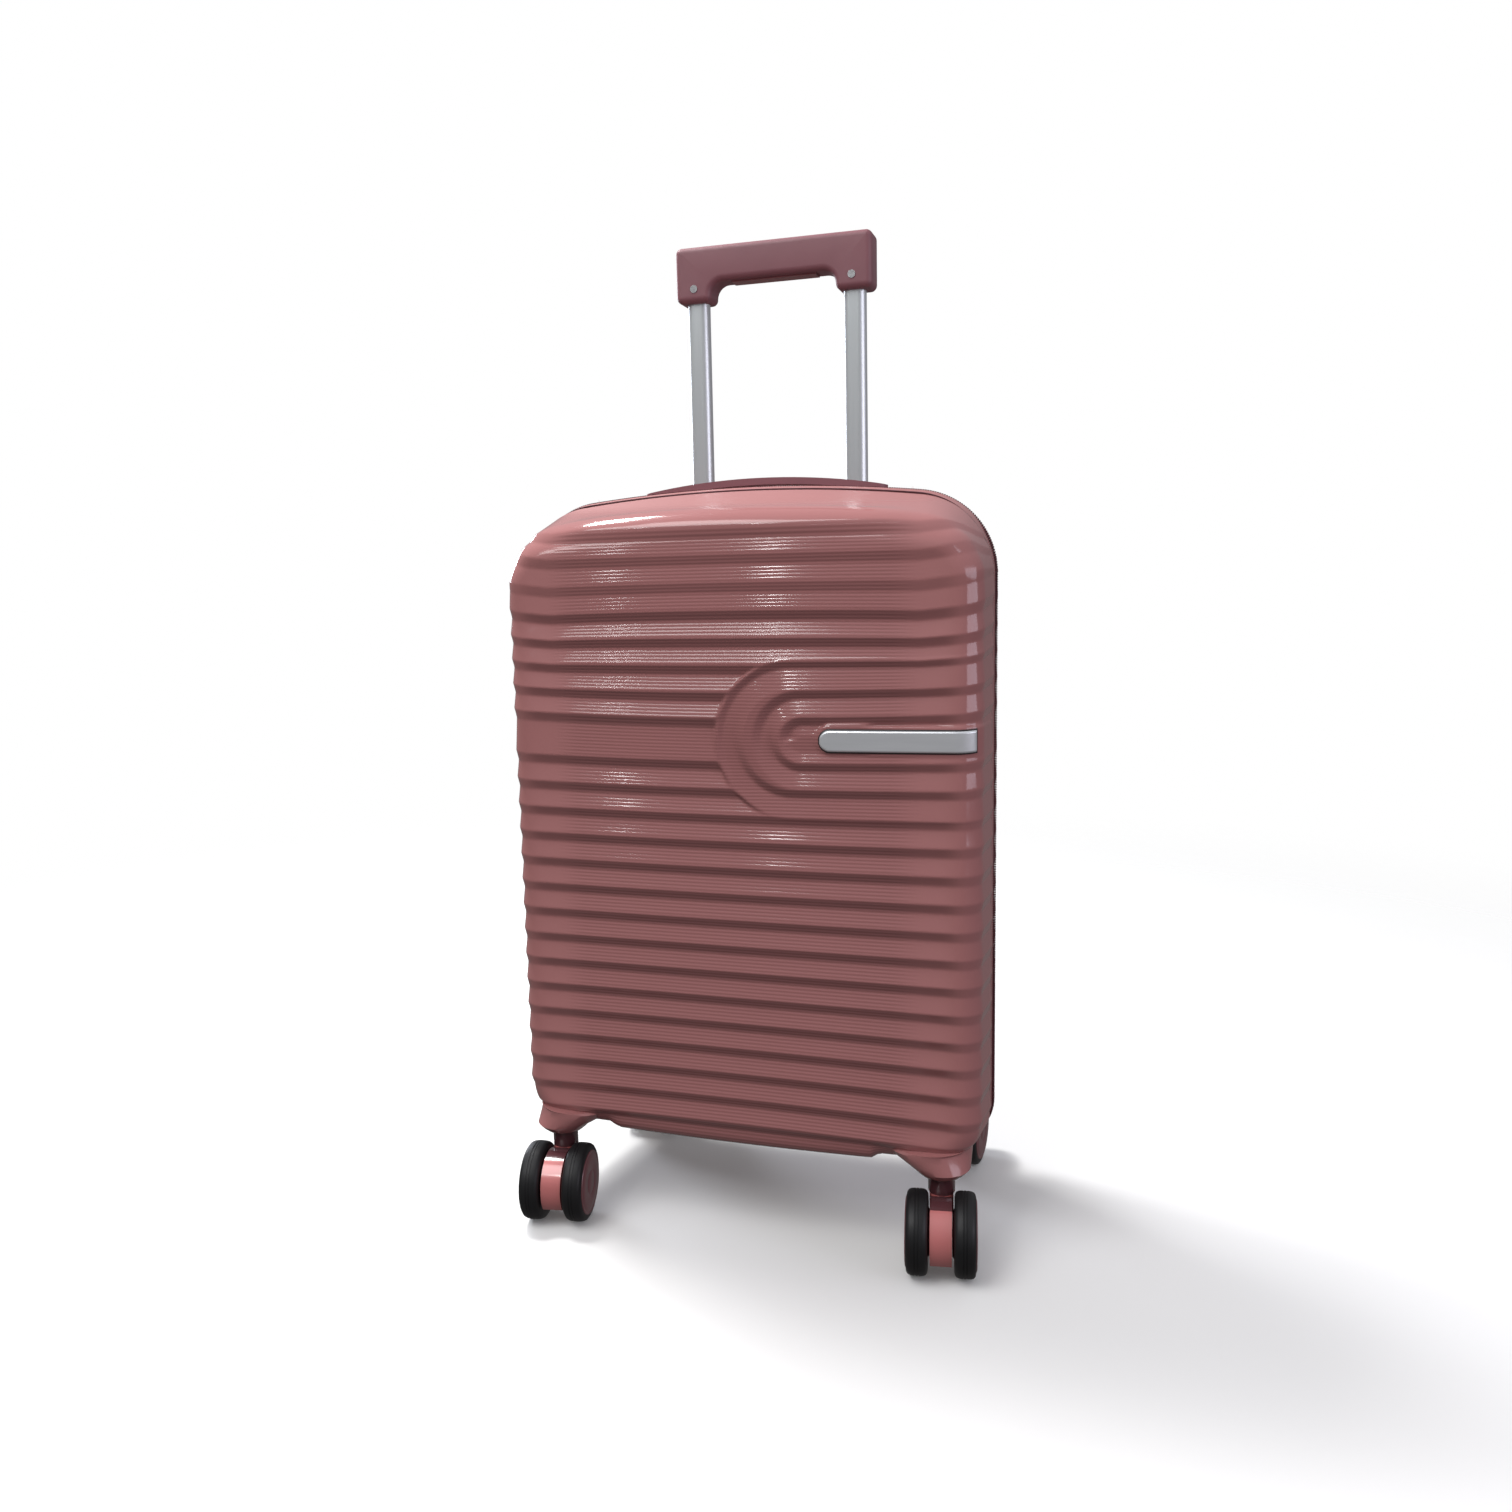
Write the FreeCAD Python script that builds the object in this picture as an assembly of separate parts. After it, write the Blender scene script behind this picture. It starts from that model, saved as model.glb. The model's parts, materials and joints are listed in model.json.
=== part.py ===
import FreeCAD, Part
import math
import os
from FreeCAD import Vector

# Hard shell cabin suitcase on four twin-wheel casters, in millimetres.
# X points to the case's right, Y to its back and Z up. The floor is Z = 0.
# Depths are measured from the zip plane: the lid lies in front of it (-Y).

# Driving dimensions -------------------------------------------------------
ZIP_Y = -16.5
RIM_HALF_WIDTH = 178.0
RIM_TOP = 549.0
RIM_BOTTOM = 68.0
CROWN_RADIUS = 1136.0
WALL = 3.0
RIM_GAP = 3.5
FACE_BULGE_RADIUS = 1712.0

# One half: its depth, and its outline at the rim and at the far face, as
# half width, top, bottom, top corner radius and bottom corner radius.
RIM = (RIM_HALF_WIDTH, RIM_TOP, RIM_BOTTOM, 60.0, 32.0)
# Sign is the side of the zip plane and round the radius at the far face's edge.
FRONT = {
    "sign": -1,
    "depth": 70.0,
    "rim": RIM,
    "face": (173.0, 524.0, 74.0, 42.0, 30.0),
    "round": 16.0,
    "screw_head_z": 74.0,
}
REAR = {
    "sign": 1,
    "depth": 102.0,
    "rim": RIM,
    "face": (162.0, 535.0, 76.0, 48.0, 28.0),
    "round": 18.0,
    "screw_head_z": 76.2,
}
HALVES = {"front": FRONT, "rear": REAR}

LINING_GAP = 0.8
LINING = 1.2
LINING_START = 14.0
LINING_TOP = 508.0
LINING_BOTTOM = 87.0
PANEL_GAP = 0.1

# Telescopic handle: tube centres, and sections as width, depth and corner.
TUBE_X = 62.2
TUBE_Y = ZIP_Y + 72.0
INNER_TUBE = (17.0, 13.0, 5.5)
TUBE_WALL = 1.2
TUBE_CLEARANCE = 0.25
BEZEL_BOTTOM = 531.0
BEZEL_TOP = 542.2
COLLAR_TOP = 549.6
MIDDLE_TUBE_TOP = 545.0
TUBE_FOOT = 92.0
INNER_TUBE_FOOT = 372.0
PIN_Z = INNER_TUBE_FOOT + 9.0
GRIP_BOTTOM = 694.5
GRIP_UNDERSIDE = 709.5
GRIP_TOP = 736.0
GRIP_HALF_WIDTH = 77.3
GRIP_LEG_WIDTH = 28.0
GRIP_DEPTH = 24.0
GRIP_TUBE_END = 712.0
BUTTON_HALF_WIDTH = 33.6
BUTTON_HALF_DEPTH = 5.6
ROD_RADIUS = 2.0
PIN_RADIUS = 3.0
RUNNING_GAP = 0.05

# Casters
WHEEL_RADIUS = 28.8
TYRE_WIDTH = 15.0
TYRE_SPACING = 33.0
HUB_RADIUS = 20.0
AXLE_RADIUS = 3.0
WEB_WIDTH = 15.0
WEB_RADIUS = 24.0
WEB_CUT_Z = 15.0
STEM_RADIUS = 5.0
STEM_TOP = 80.0
NECK_RADIUS = 9.5
NECK_TOP = 61.8
DOME_BOTTOM = 62.3
DOME_TOP = 84.0
DOME_RADIUS = 20.0
BOSS_RADIUS = 8.0
BOSS_TOP = 84.0
TRAIL = 20.0
SCREW_CIRCLE = 13.0
SCREW_TURNS = (25.0, 90.0, 155.0)
SCREW_RADIUS = 1.5
SCREW_HEAD_RADIUS = 3.0
SCREW_HEAD = 4.5
SCREW_TIP_Z = 67.0
# Name, half, swivel X, swivel depth from the zip plane, heading of the wheels
# in degrees from the front, turning towards +X.
CASTERS = (
    ("front_left", FRONT, -146.5, -50.0, 9.0),
    ("front_right", FRONT, 146.5, -50.0, 8.0),
    ("rear_left", REAR, -131.0, 84.0, 184.0),
    ("rear_right", REAR, 131.0, 84.0, 175.0),
)

# Carry handles
HANDLE_HALF_SPAN = 94.0
HANDLE_THICKNESS = 5.0
HANDLE_WIDTH = 17.0
STEM_LENGTH = 25.0
SOCKET_ROOM = 29.0
STEM_OFFSET = 84.0
TOP_HANDLE_DEPTH = 32.0
TOP_HANDLE_PEAK = 12.0
TOP_HANDLE_DROP = 8.5
SIDE_HANDLE_DEPTH = 60.0
SIDE_HANDLE_PEAK = 13.5
SIDE_HANDLE_DROP = 4.5
SIDE_HANDLE_Z = 300.0

# Lock and zip, on the case's left side
LOCK_DEPTH = 24.5
LOCK_Z = 330.0
LOCK_HALF_WIDTH = 12.5
LOCK_HALF_HEIGHT = 39.0
LOCK_PROUD = 2.6
DIAL_RADIUS = 7.0
DIAL_Z = (-24.0, -16.0, -8.0)
DIAL_THICKNESS = 5.0
BUTTON_SLOT_Z = 7.0
KEY_Z = 25.0
DIAL_X = -3.8
SLIDER_Z = {"upper": 392.0, "lower": 268.0}
PULL_X = -183.5
PULL_PIN_RADIUS = 0.8
PULL_HOLE_RADIUS = 0.88
PULL_EYE_RADIUS = 1.4

# Inside
HUMP_HALF = 81.0
HUMP_Y = ZIP_Y + 59.0
POCKET_HALF = 140.0
POCKET_Y = ZIP_Y - 56.0
POCKET_BOTTOM = 120.0
POCKET_TOP = 330.0
POCKET_WALL = 1.2
GUSSET_BOTTOM = 150.0
GUSSET_TOP = 450.0
BUCKLE_HALF = 24.0
BUCKLE_Y = ZIP_Y + 14.6
BUCKLE_THICKNESS = 5.0
STRAP_Y = ZIP_Y + 16.0
STRAP_THICKNESS = 1.2
STRAP_BOTTOM = 240.0
STRAP_TOP = 270.0

# Badge on the lid, from its rounded left end to the right-hand corner
BADGE_LEFT = 66.0
BADGE_RIGHT = 170.0
BADGE_Z = 372.0
BADGE_HALF_HEIGHT = 7.5


# Helpers ------------------------------------------------------------------
def save(shape, name):
    shape.exportStep("parts/" + name + ".step")


def box(x0, x1, y0, y1, z0, z1):
    return Part.makeBox(x1 - x0, y1 - y0, z1 - z0, Vector(x0, y0, z0))


def biggest(shape):
    return max(shape.Solids, key=lambda part: part.Volume)


def fuse_all(shapes):
    return shapes[0].multiFuse(shapes[1:]).removeSplitter()


def outline(half_width, top, bottom, top_corner, bottom_corner, crown, y):
    """Closed outline at one Y: flat bottom, straight sides and a crowned top."""
    crown_z = top - crown
    corner_x = half_width - top_corner
    corner_z = crown_z + math.sqrt((crown - top_corner) ** 2 - corner_x**2)
    angle = math.atan2(corner_z - crown_z, corner_x)
    low_x = half_width - bottom_corner
    low_z = bottom + bottom_corner
    diagonal = math.sqrt(0.5)

    def at(x, z):
        return Vector(x, y, z)

    def corner_point(side, turn):
        x = corner_x + top_corner * math.cos(turn)
        return at(side * x, corner_z + top_corner * math.sin(turn))

    def low_point(side):
        return at(side * (low_x + bottom_corner * diagonal), low_z - bottom_corner * diagonal)

    edges = [
        Part.makeLine(at(-low_x, bottom), at(low_x, bottom)),
        Part.Arc(at(low_x, bottom), low_point(1), at(half_width, low_z)).toShape(),
        Part.makeLine(at(half_width, low_z), at(half_width, corner_z)),
        Part.Arc(corner_point(1, 0), corner_point(1, angle / 2), corner_point(1, angle)).toShape(),
        Part.Arc(corner_point(1, angle), at(0, top), corner_point(-1, angle)).toShape(),
        Part.Arc(corner_point(-1, angle), corner_point(-1, angle / 2), corner_point(-1, 0)).toShape(),
        Part.makeLine(at(-half_width, corner_z), at(-half_width, low_z)),
        Part.Arc(at(-half_width, low_z), low_point(-1), at(-low_x, bottom)).toShape(),
    ]
    return Part.Wire(edges)


def section(half, depth, inset):
    """A half's outline at a depth, moved inwards by inset."""
    share = depth / half["depth"]
    values = [a + (b - a) * share for a, b in zip(half["rim"], half["face"])]
    half_width, top, bottom, top_corner, bottom_corner = values
    return outline(
        half_width - inset,
        top - inset,
        bottom + inset,
        top_corner - inset,
        bottom_corner - inset,
        CROWN_RADIUS - inset,
        ZIP_Y + half["sign"] * depth,
    )


def half_solid(half, start, end, inset):
    """A closed solid of one half between two depths, moved inwards by inset."""
    solid = Part.makeLoft([section(half, start, inset), section(half, end, inset)], True, True)
    if half is FRONT:
        axis_y = ZIP_Y - end + FACE_BULGE_RADIUS
        bulge = Part.makeCylinder(FACE_BULGE_RADIUS, 700.0, Vector(0, axis_y, 0))
        solid = solid.common(bulge).Solids[0].removeSplitter()
    face = max(solid.Faces, key=lambda f: abs(f.CenterOfMass.y - ZIP_Y))
    return solid.makeFillet(half["round"] - inset, face.Edges).Solids[0]


def wall_x(depth):
    """Half width of the rear half's outside at a depth."""
    return RIM_HALF_WIDTH - (RIM_HALF_WIDTH - REAR["face"][0]) * depth / REAR["depth"]


def top_z(depth):
    """Height of the rear half's crown at a depth."""
    return RIM_TOP - (RIM_TOP - REAR["face"][1]) * depth / REAR["depth"]


WALL_ANGLE = math.degrees(math.atan((RIM_HALF_WIDTH - REAR["face"][0]) / REAR["depth"]))


def on_left_wall(shape, depth, z):
    """Place a shape made with +X outwards, +Y towards the zip and +Z up."""
    moved = shape.copy()
    moved.rotate(Vector(0, 0, 0), Vector(0, 0, 1), 180.0 - WALL_ANGLE)
    moved.translate(Vector(-wall_x(depth), ZIP_Y + depth, z))
    return moved


def on_top(shape, depth):
    """Place a shape made with +X outwards, +Y across and +Z along, on the crown."""
    moved = shape.copy()
    moved.rotate(Vector(0, 0, 0), Vector(0, 1, 0), -90.0)
    moved.translate(Vector(0, ZIP_Y + depth, top_z(depth)))
    return moved


def tube_outline(width, depth, corner, x, y, z):
    """Rounded rectangle in a level plane."""
    a = width / 2
    b = depth / 2
    straight = []
    arcs = []
    for quarter in range(4):
        turn = math.pi / 2 * quarter
        sx, sy = ((1, 1), (-1, 1), (-1, -1), (1, -1))[quarter]
        centre = Vector(x + sx * (a - corner), y + sy * (b - corner), z)
        points = []
        for step in (0.0, 0.5, 1.0):
            angle = turn + step * math.pi / 2
            points.append(centre + Vector(corner * math.cos(angle), corner * math.sin(angle), 0))
        arcs.append(points)
    edges = []
    for index, points in enumerate(arcs):
        edges.append(Part.Arc(*points).toShape())
        following = arcs[(index + 1) % 4][0]
        if (following - points[2]).Length > 1e-6:
            edges.append(Part.makeLine(points[2], following))
    return Part.Wire(edges)


def rounded_bar(size, x, y, z0, z1, grow=0.0):
    """Upright bar of a rounded rectangular section, grown all round."""
    width, depth, corner = size
    wire = tube_outline(width + 2 * grow, depth + 2 * grow, corner + grow, x, y, z0)
    return Part.Face(wire).extrude(Vector(0, 0, z1 - z0))


def tube(size, wall, x, y, z0, z1):
    return rounded_bar(size, x, y, z0, z1).cut(rounded_bar(size, x, y, z0 - 1, z1 + 1, -wall))


def both_sides(make):
    return Part.makeCompound([make(-TUBE_X), make(TUBE_X)])


def grown(size, amount):
    return (size[0] + 2 * amount, size[1] + 2 * amount, size[2] + amount)


MIDDLE_TUBE = grown(INNER_TUBE, TUBE_CLEARANCE + TUBE_WALL)
OUTER_TUBE = grown(MIDDLE_TUBE, TUBE_CLEARANCE + TUBE_WALL)


# Casters ------------------------------------------------------------------
def caster_place(caster):
    """Swivel point and the wheels' centre on the floor plane."""
    name, half, x, depth, heading = caster
    turn = math.radians(heading)
    swivel = Vector(x, ZIP_Y + depth, 0)
    forward = Vector(math.sin(turn), -math.cos(turn), 0)
    return swivel, swivel + forward * TRAIL, forward


def along_axle(forward):
    return Vector(-forward.y, forward.x, 0)


def fork(caster):
    swivel, centre, forward = caster_place(caster)
    axle_way = along_axle(forward)
    hub_centre = centre + Vector(0, 0, WHEEL_RADIUS)
    web = Part.makeCylinder(WEB_RADIUS, WEB_WIDTH, hub_centre - axle_way * (WEB_WIDTH / 2), axle_way)
    low = Part.makeBox(200, 200, WEB_CUT_Z, Vector(centre.x - 100, centre.y - 100, 0))
    neck = Part.makeCylinder(NECK_RADIUS, NECK_TOP - 36.0, swivel + Vector(0, 0, 36.0))
    stem = Part.makeCylinder(STEM_RADIUS, STEM_TOP - NECK_TOP + 4, swivel + Vector(0, 0, NECK_TOP - 4))
    bore = Part.makeCylinder(AXLE_RADIUS + RUNNING_GAP, 60, hub_centre - axle_way * 30, axle_way)
    slot_gap = TYRE_SPACING / 2 - TYRE_WIDTH / 2 - 0.6
    wheels = [
        Part.makeCylinder(
            WHEEL_RADIUS + 1.2, TYRE_WIDTH + 4, hub_centre + axle_way * (side * slot_gap), axle_way * side
        )
        for side in (-1, 1)
    ]
    shape = web.cut(low).multiFuse([neck, stem]).removeSplitter()
    for cutter in wheels + [bore]:
        shape = shape.cut(cutter)
    return shape.Solids[0]


def turned(points, centre, axis):
    """Turn a profile of (radius, along) points about an axis through centre."""
    wire = Part.makePolygon(points + [points[0]])
    solid = Part.Face(wire).revolve(Vector(0, 0, 0), Vector(0, 1, 0), 360)
    solid.Placement = FreeCAD.Placement(centre, FreeCAD.Rotation(Vector(0, 1, 0), axis))
    return solid


def tyre(centre, axis):
    half = TYRE_WIDTH / 2
    outer = WHEEL_RADIUS
    edges = [
        Part.makeLine(Vector(HUB_RADIUS, half, 0), Vector(HUB_RADIUS, -half, 0)),
        Part.makeLine(Vector(HUB_RADIUS, -half, 0), Vector(outer - 4.5, -half, 0)),
        Part.Arc(Vector(outer - 4.5, -half, 0), Vector(outer, 0, 0), Vector(outer - 4.5, half, 0)).toShape(),
        Part.makeLine(Vector(outer - 4.5, half, 0), Vector(HUB_RADIUS, half, 0)),
    ]
    solid = Part.Face(Part.Wire(edges)).revolve(Vector(0, 0, 0), Vector(0, 1, 0), 360)
    solid.Placement = FreeCAD.Placement(centre, FreeCAD.Rotation(Vector(0, 1, 0), axis))
    return solid


def hub(centre, axis):
    """Hub with a low domed cap on its outer side; axis points outwards."""
    half = TYRE_WIDTH / 2
    rim = HUB_RADIUS - 0.1
    bore = AXLE_RADIUS + 0.02
    points = [
        Vector(bore, -half + 0.6, 0),
        Vector(rim, -half + 0.6, 0),
        Vector(rim, half - 0.4, 0),
        Vector(rim - 2.0, half + 0.4, 0),
        Vector(8.0, half + 1.0, 0),
        Vector(bore, half + 1.0, 0),
    ]
    return turned(points, centre, axis)


def wheelset(caster):
    """The tyres, hubs and axle of one caster."""
    swivel, centre, forward = caster_place(caster)
    axle_way = along_axle(forward)
    hub_centre = centre + Vector(0, 0, WHEEL_RADIUS)
    tyres = []
    hubs = []
    for side in (-1, 1):
        place = hub_centre + axle_way * (side * TYRE_SPACING / 2)
        tyres.append(tyre(place, axle_way * side))
        hubs.append(hub(place, axle_way * side))
    half_length = TYRE_SPACING / 2 + TYRE_WIDTH / 2
    axle = Part.makeCylinder(AXLE_RADIUS, 2 * half_length, hub_centre - axle_way * half_length, axle_way)
    return Part.makeCompound(tyres), Part.makeCompound(hubs), axle


def mount_screws(caster):
    """Three screws that hold a caster mount to the shell, heads inside."""
    swivel = caster_place(caster)[0]
    half = caster[1]
    head_z = half["screw_head_z"]
    screws = []
    for degrees in SCREW_TURNS:
        turn = -half["sign"] * math.radians(degrees)
        x = swivel.x + SCREW_CIRCLE * math.cos(turn)
        y = swivel.y + SCREW_CIRCLE * math.sin(turn)
        shank = Part.makeCylinder(SCREW_RADIUS, head_z - SCREW_TIP_Z, Vector(x, y, SCREW_TIP_Z))
        head = Part.makeCylinder(SCREW_HEAD_RADIUS, SCREW_HEAD, Vector(x, y, head_z))
        screws.append(shank.fuse(head).removeSplitter())
    return screws


def caster_mount(caster, outside):
    """Dome under a corner, cut to sit on the shell, with a boss into it."""
    swivel = caster_place(caster)[0]
    bottom = BOSS_RADIUS + 3.0
    points = [
        Vector(0, DOME_BOTTOM, 0),
        Vector(bottom, DOME_BOTTOM, 0),
        Vector(bottom + 5.5, DOME_BOTTOM + 2.2, 0),
        Vector(DOME_RADIUS - 1.0, DOME_BOTTOM + 7.0, 0),
        Vector(DOME_RADIUS, DOME_BOTTOM + 13.0, 0),
        Vector(DOME_RADIUS, DOME_TOP, 0),
        Vector(0, DOME_TOP, 0),
    ]
    dome = turned(points, swivel, Vector(0, 0, 1)).cut(outside)
    boss = Part.makeCylinder(BOSS_RADIUS, BOSS_TOP - DOME_BOTTOM, swivel + Vector(0, 0, DOME_BOTTOM))
    bore_radius = STEM_RADIUS + RUNNING_GAP
    bore_start = DOME_BOTTOM - 1.0
    bore = Part.makeCylinder(bore_radius, STEM_TOP + 0.5 - bore_start, swivel + Vector(0, 0, bore_start))
    return dome.fuse(boss).removeSplitter().cut(bore)


# Telescopic handle --------------------------------------------------------
def grip_solid():
    half = GRIP_HALF_WIDTH
    y0 = TUBE_Y - GRIP_DEPTH / 2
    y1 = TUBE_Y + GRIP_DEPTH / 2
    body = box(-half, half, y0, y1, GRIP_BOTTOM, GRIP_TOP)
    upright = [e for e in body.Edges if abs(e.BoundBox.ZLength) > 10]
    body = body.makeFillet(6.0, upright)
    top = [e for e in body.Edges if e.BoundBox.ZMin > GRIP_TOP - 0.01]
    body = body.makeFillet(4.0, top)
    inner = half - GRIP_LEG_WIDTH
    notch = box(-inner, inner, y0 - 1, y1 + 1, GRIP_BOTTOM - 20, GRIP_UNDERSIDE)
    corners = [e for e in notch.Edges if e.BoundBox.YLength > 10 and e.BoundBox.ZMin > GRIP_UNDERSIDE - 1]
    notch = notch.makeFillet(10.0, corners)
    return body.cut(notch)


def grip():
    """Grip with sockets for the tubes, the button and the bar above it."""
    shape = grip_solid()
    for side in (-1, 1):
        x = side * TUBE_X
        shape = shape.cut(rounded_bar(INNER_TUBE, x, TUBE_Y, GRIP_BOTTOM - 1, GRIP_TUBE_END))
        shape = shape.cut(Part.makeCylinder(ROD_RADIUS + 0.6, 8, Vector(x, TUBE_Y, GRIP_TUBE_END - 1)))
    bar_room = box(-TUBE_X - 4.5, TUBE_X + 4.5, TUBE_Y - 4.5, TUBE_Y + 4.5, 715.6, 725.4)
    half = BUTTON_HALF_WIDTH + 0.3
    depth = BUTTON_HALF_DEPTH + 0.3
    button_room = box(-half, half, TUBE_Y - depth, TUBE_Y + depth, 708, 720.4)
    shape = shape.cut(bar_room).cut(button_room)
    for rivet in grip_rivets().Solids:
        shape = shape.cut(rivet)
    return shape.Solids[0]


def grip_rivets():
    """One rivet through each leg of the grip and its tube, front and back."""
    rivets = []
    for side in (-1, 1):
        for face in (-1, 1):
            outer = TUBE_Y + face * (GRIP_DEPTH / 2 + 0.5)
            inner = TUBE_Y + face * (INNER_TUBE[1] / 2 - TUBE_WALL)
            length = abs(outer - inner)
            base = Vector(side * TUBE_X, min(outer, inner), 704.5)
            shank = Part.makeCylinder(1.6, length, base, Vector(0, 1, 0))
            head_base = Vector(side * TUBE_X, outer - (1.4 if face > 0 else 0), 704.5)
            head = Part.makeCylinder(2.9, 1.4, head_base, Vector(0, 1, 0))
            rivets.append(shank.fuse(head).removeSplitter())
    return Part.makeCompound(rivets)


def inner_tube(x):
    shape = tube(INNER_TUBE, TUBE_WALL, x, TUBE_Y, INNER_TUBE_FOOT, GRIP_TUBE_END)
    hole = Part.makeCylinder(PIN_RADIUS + RUNNING_GAP, 20, Vector(x, TUBE_Y, PIN_Z), Vector(0, 1, 0))
    shape = shape.cut(hole)
    for rivet in grip_rivets().Solids:
        shape = shape.cut(rivet)
    return shape.Solids[0]


def inner_tube_plug(x):
    """Moulded end of an inner tube, which guides its locking pin."""
    inside = grown(INNER_TUBE, -TUBE_WALL - 0.05)
    shape = rounded_bar(inside, x, TUBE_Y, INNER_TUBE_FOOT, INNER_TUBE_FOOT + 20)
    bore = Part.makeCylinder(PIN_RADIUS + RUNNING_GAP, 20, Vector(x, TUBE_Y - 4.3, PIN_Z), Vector(0, 1, 0))
    return shape.cut(bore)


def latch_pin(x):
    back = TUBE_Y + INNER_TUBE[1] / 2 - 0.05
    return Part.makeCylinder(PIN_RADIUS, 7.2, Vector(x, back - 7.2, PIN_Z), Vector(0, 1, 0))


def release_button():
    """Squeeze button under the grip with the bar that lifts both rods."""
    half = BUTTON_HALF_WIDTH
    depth = BUTTON_HALF_DEPTH
    button = box(-half, half, TUBE_Y - depth, TUBE_Y + depth, 708.2, 716.0)
    bar = box(-TUBE_X - 3.5, TUBE_X + 3.5, TUBE_Y - 3.5, TUBE_Y + 3.5, 716.0, 720.0)
    return button.fuse(bar).removeSplitter()


def push_rod(x):
    foot = INNER_TUBE_FOOT + 20.4
    return Part.makeCylinder(ROD_RADIUS, 716.0 - foot, Vector(x, TUBE_Y, foot))


def middle_collar(x):
    """Cap on a middle tube that guides the inner tube."""
    shape = rounded_bar(grown(MIDDLE_TUBE, 2.0), x, TUBE_Y, BEZEL_TOP + 0.4, COLLAR_TOP)
    seat = rounded_bar(MIDDLE_TUBE, x, TUBE_Y, BEZEL_TOP - 1, MIDDLE_TUBE_TOP, 0.03)
    guide = rounded_bar(INNER_TUBE, x, TUBE_Y, BEZEL_TOP, COLLAR_TOP + 1, TUBE_CLEARANCE)
    return shape.cut(seat).cut(guide)


def bezel_core(grow=0.0):
    size = (2 * TUBE_X + 32.0, OUTER_TUBE[1] + 4.0, 9.0)
    return rounded_bar(size, 0, TUBE_Y, BEZEL_BOTTOM, BEZEL_TOP - 2.0, grow)


def bezel(outside):
    """Top plate round both tubes, flanged onto the crown of the rear shell."""
    size = (2 * TUBE_X + 38.0, OUTER_TUBE[1] + 8.0, 11.0)
    flange = rounded_bar(size, 0, TUBE_Y, BEZEL_BOTTOM + 2, BEZEL_TOP).cut(outside)
    shape = flange.fuse(bezel_core()).removeSplitter()
    for side in (-1, 1):
        x = side * TUBE_X
        hole = rounded_bar(MIDDLE_TUBE, x, TUBE_Y, BEZEL_BOTTOM - 1, BEZEL_TOP + 1, TUBE_CLEARANCE)
        shape = shape.cut(hole)
    return shape.Solids[0]


def foot_bracket(cavity):
    """Moulded foot that ties the outer tubes together at the bottom."""
    half = TUBE_X + 14.0
    block = box(-half, half, TUBE_Y - 11.5, TUBE_Y + 11.5, 72.0, 104.0)
    block = block.makeFillet(5.0, [e for e in block.Edges if e.BoundBox.ZLength > 20]).common(cavity)
    for side in (-1, 1):
        block = block.cut(rounded_bar(OUTER_TUBE, side * TUBE_X, TUBE_Y, TUBE_FOOT, 120.0, 0.05))
    return block.Solids[0]


# Carry handles ------------------------------------------------------------
def carry_handle(peak, drop):
    """Arched bar along Z that stands off in +X, with a stem at each end."""
    span = HANDLE_HALF_SPAN
    top = peak
    under = peak - HANDLE_THICKNESS
    half = HANDLE_WIDTH / 2
    edges = [
        Part.Arc(
            Vector(top - drop, -half, -span), Vector(top, -half, 0), Vector(top - drop, -half, span)
        ).toShape(),
        Part.makeLine(Vector(top - drop, -half, span), Vector(under - drop, -half, span)),
        Part.Arc(
            Vector(under - drop, -half, span), Vector(under, -half, 0), Vector(under - drop, -half, -span)
        ).toShape(),
        Part.makeLine(Vector(under - drop, -half, -span), Vector(top - drop, -half, -span)),
    ]
    bar = Part.Face(Part.Wire(edges)).extrude(Vector(0, HANDLE_WIDTH, 0))
    ends = [e for e in bar.Edges if e.BoundBox.XLength > 4 and e.BoundBox.ZLength < 0.01]
    bar = bar.makeFillet(7.0, ends)
    shapes = [bar]
    for side in (-1, 1):
        z = side * STEM_OFFSET
        shapes.append(box(-STEM_LENGTH, under - drop * 0.6, -4.0, 4.0, z - 5.0, z + 5.0))
        shapes.append(box(-STEM_LENGTH - 2.5, -STEM_LENGTH, -6.0, 6.0, z - 7.5, z + 7.5))
    return fuse_all(shapes)


def handle_sockets(place, outside, sink):
    """Hollow guides for both stems, flanged onto the shell; sink lowers them.

    Returns the finished sockets and the blocks to cut from the shell.
    """
    sockets = []
    blocks = []
    room = SOCKET_ROOM
    for side in (-1, 1):
        z = side * STEM_OFFSET
        plate = box(-5.0, 1.3 - sink, -9.5, 9.5, z - 11.0, z + 11.0)
        plate = plate.makeFillet(4.0, [e for e in plate.Edges if e.BoundBox.XLength > 3])
        block = place(box(-room, 3.0, -7.8, 7.8, z - 9.3, z + 9.3))
        hollow = box(-room + 1.2, -5.5 - sink, -6.5, 6.5, z - 8.0, z + 8.0)
        throat = box(-room + 1.2, 5.0, -4.15, 4.15, z - 5.15, z + 5.15)
        flange = place(plate).cut(outside)
        guide = block.common(outside)
        solid = flange.fuse(guide).removeSplitter().cut(place(hollow)).cut(place(throat))
        sockets.append(biggest(solid))
        blocks.append(block)
    return sockets, blocks


# Zip ----------------------------------------------------------------------
def ring(half, start, end, outer, inner):
    """Band that follows a half's outline between two depths and two insets."""
    solids = []
    for inset in (outer, inner):
        solids.append(Part.makeLoft([section(half, start, inset), section(half, end, inset)], True, True))
    return solids[0].cut(solids[1])


def zip_tape(half):
    """Tape inside the rim with the tooth bead that meets the other half's."""
    bead = ring(half, 0.2, 3.3, 0.8, 4.4)
    tape = ring(half, 0.2, 12.0, 3.1, 4.4)
    return bead.fuse(tape).removeSplitter().Solids[0]


def hinge_gusset(half):
    strip = ring(half, 0.25, 12.0, 4.6, 5.6)
    return strip.common(box(100, 200, -200, 200, GUSSET_BOTTOM, GUSSET_TOP)).Solids[0]


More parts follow.
